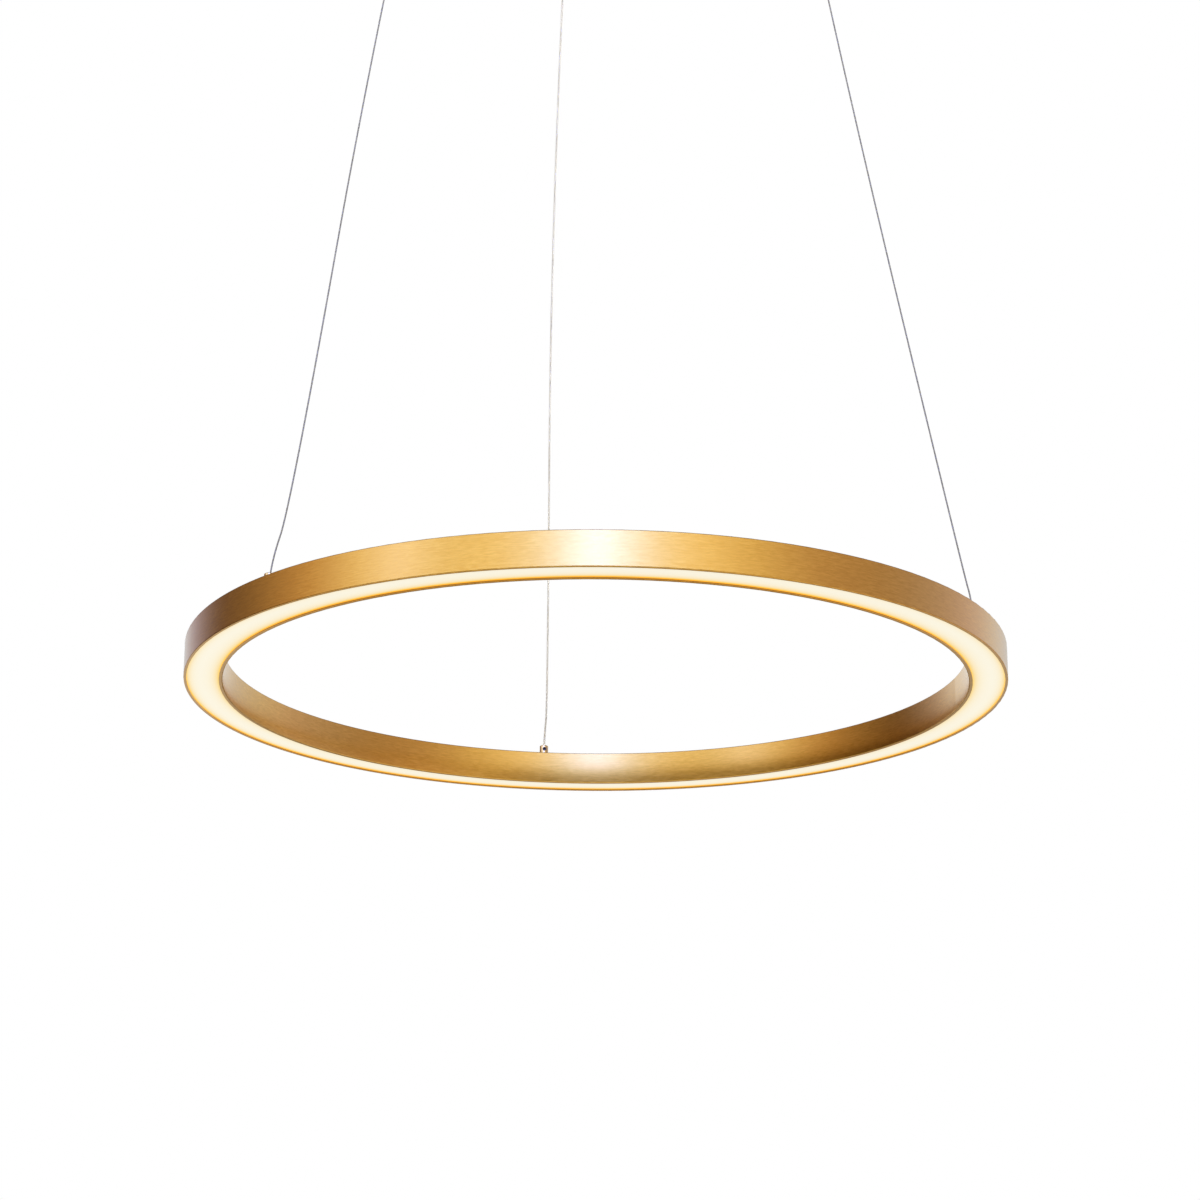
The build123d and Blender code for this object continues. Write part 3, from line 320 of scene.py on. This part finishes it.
def opal():
    """Lit diffuser: warm white, amber close to the channel's walls."""
    edge_amber = (1.0, 0.66, 0.11, 1)
    warm_white = (1.0, 0.94, 0.77, 1)
    paler_white = (1.0, 0.96, 0.81, 1)
    outer_halving = 0.0017           # the amber halves over this, in from each wall
    inner_halving = 0.0024
    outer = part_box("diffuser")[1].x
    inner = ring_inner + 0.0027
    made, tree, shader = material("opal")
    _, _, radius, _ = round_grain(tree, 1.0, 1.0)
    from_outer = maths(tree, "DIVIDE", maths(tree, "SUBTRACT", outer, radius), outer_halving)
    from_inner = maths(tree, "DIVIDE", maths(tree, "SUBTRACT", radius, inner), inner_halving)
    speck = noise(tree, here(tree), 1400.0, 2.0)
    haze = noise(tree, here(tree), 14.0, 2.0)
    glow = maths(tree, "POWER", 0.5, maths(tree, "MINIMUM", from_outer, from_inner))
    white = mixed(tree, haze, warm_white, paler_white)
    wire_up(
        tree, shader,
        Emission_Color=mixed(tree, glow, white, edge_amber),
        Roughness=spread(tree, speck, 0.42, 0.55),
        Normal=bumped(tree, speck, 0.00001, 0.4),
        Base_Color=mixed(tree, speck, (0.11, 0.10, 0.08, 1), (0.14, 0.125, 0.10, 1)),
    )
    shader.inputs["Emission Strength"].default_value = 0.86
    return made


def steel_rope():
    """Dull, slightly stained stainless steel."""
    dark = (0.15, 0.145, 0.135, 1)
    pale = (0.28, 0.27, 0.255, 1)
    made, tree, shader = material("steel_rope")
    spot = here(tree)
    dirt = noise(tree, spot, 900.0, 3.0)
    cloud = noise(tree, spot, 30.0, 2.0)
    wire_up(
        tree, shader,
        Base_Color=mixed(tree, spread(tree, dirt, 0.0, 1.0, 0.35, 0.65), dark, pale),
        Roughness=spread(tree, cloud, 0.5, 0.62),
    )
    shader.inputs["Metallic"].default_value = 0.2
    return made


def clear_jacket():
    """Soft clear plastic, slightly hazy."""
    made, tree, shader = material("clear_jacket")
    spot = here(tree)
    haze = noise(tree, spot, 500.0, 2.0)
    wire_up(
        tree, shader,
        Base_Color=mixed(tree, haze, (0.93, 0.92, 0.89, 1), (0.98, 0.98, 0.96, 1)),
        Roughness=spread(tree, haze, 0.10, 0.22),
        Normal=bumped(tree, haze, 0.00001, 0.4),
    )
    shader.inputs["Transmission Weight"].default_value = 0.9
    shader.inputs["IOR"].default_value = 1.45
    return made


def strip_white():
    """White circuit with copper pads in step with the chips."""
    pads_per_turn = 186.0
    strip_radius = 0.293
    bare_half_width = 0.0026         # no pads nearer than this to the strip's middle
    copper = (0.72, 0.40, 0.19, 1)
    made, tree, shader = material("strip_white")
    _, _, radius, _ = round_grain(tree, 1.0, 1.0)
    spot = parts_of(tree, here(tree))
    angle = maths(tree, "ARCTAN2", spot["Y"], spot["X"])
    beat = maths(tree, "SINE", product(tree, angle, pads_per_turn))
    beside = maths(tree, "ABSOLUTE", maths(tree, "SUBTRACT", radius, strip_radius))
    pad = product(tree, above(tree, beat, 0.55), above(tree, beside, bare_half_width))
    mask = noise(tree, here(tree), 700.0, 2.0)
    white = mixed(tree, mask, (0.80, 0.80, 0.77, 1), (0.88, 0.88, 0.86, 1))
    wire_up(
        tree, shader,
        Base_Color=mixed(tree, pad, white, copper),
        Metallic=pad,
        Roughness=spread(tree, mask, 0.35, 0.5),
    )
    return made


def led_phosphor():
    """Yellow phosphor window in each chip's white frame."""
    made, tree, shader = material("led_phosphor")
    grainy = noise(tree, here(tree), 3000.0, 2.0)
    colour = mixed(tree, grainy, (0.95, 0.72, 0.18, 1), (1.0, 0.86, 0.36, 1))
    wire_up(
        tree, shader,
        Base_Color=colour,
        Emission_Color=colour,
        Roughness=spread(tree, grainy, 0.35, 0.55),
    )
    shader.inputs["Emission Strength"].default_value = 1.0
    return made


def circuit_board():
    """Green solder mask over darker copper tracks."""
    made, tree, shader = material("circuit_board")
    spot = here(tree)
    tracks = add(tree, "ShaderNodeTexBrick", {
        "Vector": spot, "Scale": 90.0, "Mortar Size": 0.07, "Brick Width": 0.7, "Row Height": 0.22,
        "Color1": (0.03, 0.16, 0.07, 1), "Color2": (0.035, 0.19, 0.08, 1), "Mortar": (0.015, 0.08, 0.035, 1),
    })
    mask = noise(tree, spot, 400.0, 2.0)
    wire_up(
        tree, shader,
        Base_Color=tracks.outputs["Color"],
        Roughness=spread(tree, mask, 0.3, 0.45),
        Normal=bumped(tree, tracks.outputs["Fac"], 0.00003, 0.5),
    )
    return made


def insulated(made, tree, shader, colour):
    """Finishes a lead's material: that colour, with a slight dark bloom."""
    bloom = noise(tree, here(tree), 600.0, 2.0)
    darker = mixed(tree, product(tree, bloom, 0.35), colour, (0.01, 0.01, 0.01, 1))
    wire_up(tree, shader, Base_Color=darker, Roughness=spread(tree, bloom, 0.32, 0.48))
    return made


def mains_lead():
    """Brown live lead, blue neutral and green-and-yellow earth, told apart by where each one lies."""
    brown = (0.16, 0.07, 0.03, 1)
    blue = (0.03, 0.12, 0.42, 1)
    green = (0.05, 0.30, 0.06, 1)
    yellow = (0.80, 0.62, 0.04, 1)
    parting = (-0.0865, -0.019)      # a place on the line between the live lead and the neutral one
    parting_slope = 2.52
    neutral_from = (-0.086, -0.048)
    earth_from = (-0.072, 0.005)
    made, tree, shader = material("lead_insulation")
    spot = here(tree)
    x = parts_of(tree, spot)["X"]
    y = parts_of(tree, spot)["Y"]
    past = maths(
        tree, "ADD",
        maths(tree, "SUBTRACT", y, parting[1]),
        product(tree, maths(tree, "SUBTRACT", x, parting[0]), parting_slope),
    )
    neutral = product(
        tree,
        above(tree, past, 0.0),
        above(tree, x, neutral_from[0]),
        above(tree, y, neutral_from[1]),
    )
    earth = product(tree, above(tree, x, earth_from[0]), above(tree, y, earth_from[1]))
    wave = add(
        tree, "ShaderNodeTexWave",
        {"Vector": spot, "Scale": 95.0, "Distortion": 0.6},
        bands_direction="DIAGONAL",
    )
    earthy = mixed(tree, above(tree, wave.outputs["Fac"], 0.5), green, yellow)
    colour = mixed(tree, neutral, brown, blue)
    return insulated(made, tree, shader, mixed(tree, earth, colour, earthy))


def feed_core():
    """The lamp's two low-voltage cores, parted by the line that they run along: red, and black beyond it."""
    red = (0.42, 0.05, 0.04, 1)
    black_plastic = (0.03, 0.03, 0.03, 1)
    parting_slope = 0.444
    parting_y = 0.2845
    made, tree, shader = material("core_insulation")
    spot = parts_of(tree, here(tree))
    beyond = maths(
        tree, "ADD",
        product(tree, spot["X"], parting_slope),
        maths(tree, "SUBTRACT", spot["Y"], parting_y),
    )
    return insulated(made, tree, shader, mixed(tree, above(tree, beyond, 0.0), red, black_plastic))


brass = turned_metal(
    "turned_brass", (0.74, 0.56, 0.28, 1), (0.64, 0.46, 0.20, 1), 0.22, 0.38, 0.00015)
bright = turned_metal(
    "bright_steel", (0.70, 0.70, 0.71, 1), (0.58, 0.58, 0.60, 1), 0.15, 0.30, 0.00015)
tinned = plated_steel(
    "tinned_copper", (0.74, 0.72, 0.69, 1), (0.62, 0.58, 0.53, 1), 0.25, 0.42)
rope_steel = steel_rope()
jacket = clear_jacket()

dressing = {
    "brushed_gold": brushed_gold(),
    "polished_gold": turned_metal(
        "polished_gold", (0.80, 0.56, 0.27, 1), (0.70, 0.46, 0.19, 1), 0.20, 0.34, 0.0002),
    "opal": opal(),
    "steel_rope": rope_steel,
    "clear_jacket": jacket,
    "zinc_steel": plated_steel(
        "zinc_steel", (0.66, 0.68, 0.70, 1), (0.55, 0.57, 0.58, 1), 0.30, 0.48),
    "turned_brass": brass,
    "bright_steel": bright,
    "black_steel": turned_metal(
        "black_steel", (0.035, 0.033, 0.032, 1), (0.055, 0.05, 0.046, 1), 0.38, 0.5, 0.00015),
    "tinned_copper": tinned,
    "strip_white": strip_white(),
    "led_phosphor": led_phosphor(),
    "connector_plastic": moulded(
        "connector_plastic", (0.84, 0.84, 0.81, 1), (0.76, 0.76, 0.73, 1), 0.42, 1600.0),
    "core_insulation": feed_core(),
    "lead_insulation": mains_lead(),
    "grommet_rubber": moulded(
        "grommet_rubber", (0.030, 0.030, 0.032, 1), (0.018, 0.018, 0.018, 1), 0.72, 900.0, 0.00004),
    "driver_plastic": moulded(
        "driver_plastic", (0.80, 0.80, 0.78, 1), (0.73, 0.73, 0.71, 1), 0.48, 1100.0, 0.00004),
    "circuit_board": circuit_board(),
    "component_plastic": moulded(
        "component_plastic", (0.05, 0.05, 0.06, 1), (0.09, 0.09, 0.10, 1), 0.35, 800.0),
}
for part in frame["record"]["subparts"]:
    for used in nodes[part["node"]].material_slots:
        used.material = dressing[part["material_slot"]]


# ---------------------------------------------------------------- cords: the three hanging wires
def in_plane(angle, route):
    """(radius, Z) points of a hanging wire as points in space."""
    return [(radius * cos(radians(angle)), radius * sin(radians(angle)), z) for radius, z in route]


def spline_line(name, points, steps=400, pitch=0.0009):
    """Points read from the smooth spline that a route's points control, about pitch apart."""
    curve = bpy.data.curves.new(name, "CURVE")
    curve.dimensions = "3D"
    curve.resolution_u = steps
    spline = curve.splines.new("NURBS")
    spline.points.add(len(points) - 1)
    for spot, point in zip(spline.points, points):
        spot.co = (*point, 1.0)
    spline.order_u = 3
    spline.use_endpoint_u = True
    holder = bpy.data.objects.new(name, curve)
    read = bpy.data.meshes.new_from_object(holder)
    line = [v.co.copy() for v in read.vertices]
    bpy.data.objects.remove(holder)
    bpy.data.meshes.remove(read)
    bpy.data.curves.remove(curve)
    kept = [line[0]]
    for spot in line[1:-1]:
        if (spot - kept[-1]).length >= pitch:
            kept.append(spot)
    return kept + [line[-1]]


def frames_along(line):
    """Two directions square to the line at each of its points, carried along without twisting."""
    side = Vector((1.0, 0.0, 0.0))
    found = []
    for i, spot in enumerate(line):
        ahead = (line[min(i + 1, len(line) - 1)] - line[max(i - 1, 0)]).normalized()
        side = (side - ahead * side.dot(ahead)).normalized()
        found.append((side.copy(), ahead.cross(side)))
    return found


def lofted(name, line, shape, used):
    """A closed mesh along a line: shape(distance) gives the cross-section's (x, y) points there."""
    frames = frames_along(line)
    mesh = bpy.data.meshes.new(name)
    work = bmesh.new()
    rings = []
    distance = 0.0
    for i, (spot, (side, other)) in enumerate(zip(line, frames)):
        if i:
            distance += (spot - line[i - 1]).length
        rings.append([work.verts.new(spot + side * x + other * y) for x, y in shape(distance)])
    count = len(rings[0])
    for low, high in zip(rings, rings[1:]):
        for k in range(count):
            work.faces.new((low[k], low[(k + 1) % count], high[(k + 1) % count], high[k]))
    work.faces.new(rings[0][::-1])
    work.faces.new(rings[-1])
    for face in work.faces:
        face.smooth = True
    bmesh.ops.recalc_face_normals(work, faces=work.faces)
    work.to_mesh(mesh)
    work.free()
    mesh.materials.append(used)
    made = bpy.data.objects.new(name, mesh)
    scene.collection.objects.link(made)
    return made


def rope_shape(diameter, strands, lay, depth, sides):
    """Cross-section of a laid rope, whose strands turn once in each lay."""
    def at(distance):
        twist = tau * distance / lay
        points = []
        for k in range(sides):
            around = tau * k / sides
            lobe = abs(cos(strands * (around - twist) / 2))
            radius = diameter / 2 - depth * (1 - lobe)
            points.append((radius * cos(around), radius * sin(around)))
        return points
    return at


def round_shape(diameter, sides, offset=0.0, lay=1.0, phase=0.0):
    """A round cross-section, wound round the line at that offset."""
    def at(distance):
        twist = tau * distance / lay + phase
        middle = (offset * cos(twist), offset * sin(twist))
        radius = diameter / 2
        return [
            (middle[0] + radius * cos(tau * k / sides), middle[1] + radius * sin(tau * k / sides))
            for k in range(sides)
        ]
    return at


gripper_circle = 0.105
socket_circle = 0.2845
stop_top = -1.064
foot = (socket_circle, -1.0464)
tail = -0.011
through = [                      # straight through a gripper, and its tail
    (gripper_circle, -0.068),
    (gripper_circle, -0.058),
    (gripper_circle, -0.019),
    (gripper_circle, tail),
    (0.083, tail),
]
steel_left = in_plane(210, [(socket_circle, stop_top), foot, (0.2695, -0.999), (0.199, -0.6), *through])
steel_right = in_plane(330, [(socket_circle, stop_top), foot, (0.2788, -1.024), (0.201, -0.6), *through])
feed = [
    (0.0, socket_circle, stop_top),
    (0.0, *foot),
    (0.0016, 0.276, -1.018),
    (0.0, 0.2043, -0.62),
    *in_plane(90, through[:-1]),
    (0.004, 0.085, tail),
    (0.024, 0.062, -0.0115),
    (0.053, 0.042, -0.0115),
    (0.081, 0.013, -0.012),
    (0.086, -0.021, -0.014),
    (0.074, -0.0476, -0.017),
    (0.061, -0.048, -0.017),
]

# Halfway up, each wire drifts to the camera's left. Another point close under the gripper keeps it
# straight from there.
halfway = 3
close_under = 0.9
for route, drift in ((steel_left, 0.009), (steel_right, 0.005), (feed, 0.009)):
    drifted = Vector(route[halfway]) - right * drift
    route[halfway] = tuple(drifted)
    route.insert(halfway + 1, tuple(Vector(route[halfway]).lerp(Vector(route[halfway + 1]), close_under)))

rope_strands = 6
rope_lay = 0.009
rope_groove = 0.00016
rope_sides = 24
for side, route, angle in (("left", steel_left, 210), ("right", steel_right, 330)):
    line = spline_line(f"line_{side}", route)
    shape = rope_shape(0.0012, rope_strands, rope_lay, rope_groove, rope_sides)
    rope = lofted(f"steel_rope_{side}", line, shape, rope_steel)
    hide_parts(f"steel_wire_{side}")
    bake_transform(rope)

strand_diameter = 0.0006
strand_offset = 0.00032
strand_lay = 0.007
line = spline_line("line_feed", feed)
sleeve = lofted("feed_jacket", line, round_shape(0.0016, 16), jacket)
strands = []
for k in range(2):
    shape = round_shape(strand_diameter, 8, strand_offset, strand_lay, k * pi)
    strand = lofted(f"feed_strand_{k + 1}", line, shape, tinned)
    strands.append(strand)
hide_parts("feed_cable")
for piece in (sleeve, *strands):
    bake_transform(piece)


# ---------------------------------------------------------------- return springs, pressed by the cages
coil_turns = 6
coil_steps = 32                  # in each turn
coil_radius = 0.0027
coil_wire = 0.0004
coil_low = -0.03125
coil_high = -0.02175
for where, angle in (("rear", 90), ("left", 210), ("right", 330)):
    x = gripper_circle * cos(radians(angle))
    y = gripper_circle * sin(radians(angle))
    line = [
        Vector((
            x + coil_radius * cos(tau * k / coil_steps),
            y + coil_radius * sin(tau * k / coil_steps),
            coil_low + (coil_high - coil_low) * k / (coil_turns * coil_steps),
        ))
        for k in range(coil_turns * coil_steps + 1)
    ]
    coil = lofted(f"return_coil_{where}", line, round_shape(coil_wire, 12), bright)
    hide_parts(f"return_spring_{where}")
    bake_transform(coil)


# ---------------------------------------------------------------- studio
def stage_object(name, mesh, used):
    mesh.materials.append(used)
    made = bpy.data.objects.new(name, mesh)
    scene.collection.objects.link(made)
    return made


def grid_mesh(name, columns):
    """A sheet through columns of points."""
    mesh = bpy.data.meshes.new(name)
    work = bmesh.new()
    rows = [[work.verts.new(p) for p in column] for column in columns]
    for a, b in zip(rows, rows[1:]):
        for low, high in zip(range(len(a) - 1), range(1, len(a))):
            work.faces.new((a[low], b[low], b[high], a[high]))
    work.to_mesh(mesh)
    work.free()
    return mesh


def seen_directly(tree):
    """1 to the camera, in reflections and through clear pieces, and 0 as a light on the object."""
    path = add(tree, "ShaderNodeLightPath").outputs
    mirrored = maths(tree, "MAXIMUM", path["Is Glossy Ray"], path["Is Transmission Ray"])
    return maths(tree, "MAXIMUM", path["Is Camera Ray"], mirrored)


floor_level = -4.0
floor_half = 25.0
floor_whiteness = 0.72           # near the middle; the floor melts into the backdrop further out
whiteness_from = 4.0
whiteness_full = 18.0
world_strength = 0.45

floor_used, tree, shader = material("floor")
shader.inputs["Roughness"].default_value = 0.9
mottle = noise(tree, here(tree), 3.0, 2.0)
wire_up(tree, shader, Base_Color=mixed(tree, mottle, (0.80, 0.80, 0.79, 1), (0.83, 0.83, 0.82, 1)))
white = add(tree, "ShaderNodeEmission", {"Color": (1, 1, 1, 1), "Strength": 1.0})
away = add(tree, "ShaderNodeVectorMath", {0: here(tree)}, operation="LENGTH").outputs["Value"]
whiteness = spread(tree, away, floor_whiteness, 1.0, whiteness_from, whiteness_full)
share = product(tree, seen_directly(tree), whiteness)
both = add(tree, "ShaderNodeMixShader", {0: share, 1: shader.outputs[0], 2: white.outputs[0]})
tree.links.new(both.outputs[0], tree.nodes["Material Output"].inputs["Surface"])
stage_object("floor", grid_mesh("floor", [
    [(-floor_half, -floor_half, floor_level), (-floor_half, floor_half, floor_level)],
    [(floor_half, -floor_half, floor_level), (floor_half, floor_half, floor_level)],
]), floor_used)

world = bpy.data.worlds.new("world")
world.use_nodes = True
scene.world = world
tree = world.node_tree
background = tree.nodes["Background"]
background.inputs["Color"].default_value = (1.0, 1.0, 1.0, 1.0)
tree.links.new(spread(tree, seen_directly(tree), world_strength, 1.0), background.inputs["Strength"])

# A ring of cards stands round the object, seen only in its gloss: daylight in front, and a dim, warm
# room at the sides. Each row is a place in turns from behind the object by its left side, where 0.5 is
# the camera's side, then the light there and its tint.
ember = (1.1, 0.66, 0.30)
amber = (1.05, 0.83, 0.62)
rose = (1.0, 0.85, 0.84)
pale = (1.0, 1.12, 1.22)
cool = (1.0, 1.22, 2.0)
milky = (1.0, 1.54, 3.8)
hazy = (1.0, 1.3, 2.7)
dusk = (1.0, 0.99, 1.4)
straw = (1.0, 1.0, 0.86)
window = (1.0, 1.65, 6.8)
card_light = [
    (0.0, 0.95, pale),
    (0.06, 0.95, pale),
    (0.11, 0.48, dusk),
    (0.165, 0.11, ember),
    (0.22, 0.3, amber),
    (0.28, 0.74, amber),
    (0.325, 1.3, pale),
    (0.342, 1.45, cool),
    (0.356, 1.75, hazy),
    (0.37, 1.4, cool),
    (0.39, 1.2, pale),
    (0.43, 1.4, pale),
    (0.455, 1.45, cool),
    (0.472, 1.55, milky),
    (0.485, 1.7, window),
    (0.495, 2.7, window),
    (0.505, 2.7, window),
    (0.515, 1.7, window),
    (0.53, 1.55, milky),
    (0.545, 1.48, cool),
    (0.565, 1.54, pale),
    (0.61, 1.05, straw),
    (0.66, 0.63, rose),
    (0.72, 0.48, rose),
    (0.78, 0.49, dusk),
    (0.83, 0.67, dusk),
    (0.88, 0.76, pale),
    (0.94, 0.7, pale),
    (1.0, 0.95, pale),
]
card_radius = 3.4
card_top = 7.0
card_hole = 0.01                 # left in the middle of their roof
card_steps = 96
floor_gap = 0.01
brightest = max(level * max(tint) for _, level, tint in card_light)
card_used, tree, shader = material("card")
spot = parts_of(tree, here(tree))
angle = maths(tree, "ARCTAN2", spot["X"], product(tree, spot["Y"], -1.0))
ramp = add(tree, "ShaderNodeValToRGB", {0: spread(tree, angle, 0.0, 1.0, -pi, pi)})
stops = ramp.color_ramp.elements
for turns, _, _ in card_light[1:-1]:
    stops.new(turns)
for stop, (turns, level, tint) in zip(stops, card_light):
    stop.position = turns
    stop.color = (*(level * part / brightest for part in tint), 1)
# Behind the object and on its right the cards are lit from below the ring's level too, and elsewhere
# only from there up. Their light fades towards the top, and warms downwards.
behind_middle = spread(tree, maths(tree, "ABSOLUTE", spot["X"]), 0.05, 0.7, 0.45, 0.85)
behind = product(tree, behind_middle, spread(tree, spot["Y"], 0.0, 1.0, 2.2, 3.0))
lit_low = maths(tree, "MAXIMUM", behind, spread(tree, spot["X"], 0.0, 1.0, 1.4, 3.0))
low = product(tree, lit_low, spread(tree, spot["Z"], 1.0, 0.0, ring_top - 0.6, ring_top))
rise = maths(tree, "ADD", low, spread(tree, spot["Z"], 0.12, 1.0, ring_top - 0.45, ring_top + 0.50))
fall = spread(tree, spot["Z"], 1.0, 0.15, ring_top + 2.2, card_top - 1.0)
warmth = product(
    tree,
    spread(tree, spot["Z"], 1.0, 0.0, ring_top - 0.35, ring_top + 0.85),
    spread(tree, lit_low, 1.0, 0.3, 0.0, 0.6),
)
warm = add(
    tree, "ShaderNodeMix",
    {0: warmth, 6: ramp.outputs["Color"], 7: (1.0, 0.66, 0.26, 1)},
    data_type="RGBA", blend_type="MULTIPLY",
)
glow = add(tree, "ShaderNodeEmission", {
    "Color": warm.outputs[2],
    "Strength": product(tree, rise, fall, brightest),
})
tree.links.new(glow.outputs[0], tree.nodes["Material Output"].inputs["Surface"])
cards = stage_object("cards", grid_mesh("cards", [
    [
        (card_radius * cos(a), card_radius * sin(a), floor_level + floor_gap),
        (card_radius * cos(a), card_radius * sin(a), card_top),
        (card_hole * cos(a), card_hole * sin(a), card_top),
    ]
    for a in (tau * k / card_steps for k in range(card_steps + 1))
]), card_used)
cards.rotation_euler.z = photo_turn
for way in ("camera", "diffuse", "transmission", "volume_scatter", "shadow"):
    setattr(cards, f"visible_{way}", False)


def softbox(name, azimuth, elevation, distance, width, height, power, colour=(1.0, 0.97, 0.93)):
    """An area lamp that faces the ring. Azimuth 0 is the camera's side, and 90 its right."""
    lamp = bpy.data.lights.new(name, "AREA")
    lamp.shape = "RECTANGLE"
    lamp.size = width
    lamp.size_y = height
    lamp.energy = power
    lamp.color = colour
    held = bpy.data.objects.new(name, lamp)
    scene.collection.objects.link(held)
    a = radians(azimuth)
    e = radians(elevation)
    towards = turn @ Vector((sin(a) * cos(e), -cos(a) * cos(e), sin(e)))
    held.location = Vector((0.0, 0.0, ring_top)) + towards * distance
    held.rotation_mode = "QUATERNION"
    held.rotation_quaternion = towards.to_track_quat("Z", "Y")
    held.visible_glossy = False


softbox("front_strip", 0, 22, 3.0, 0.30, 2.2, 60.0)
softbox("top_box", 30, 60, 3.0, 1.6, 1.6, 45.0)
softbox("left_box", -70, 15, 3.0, 1.2, 1.6, 18.0)
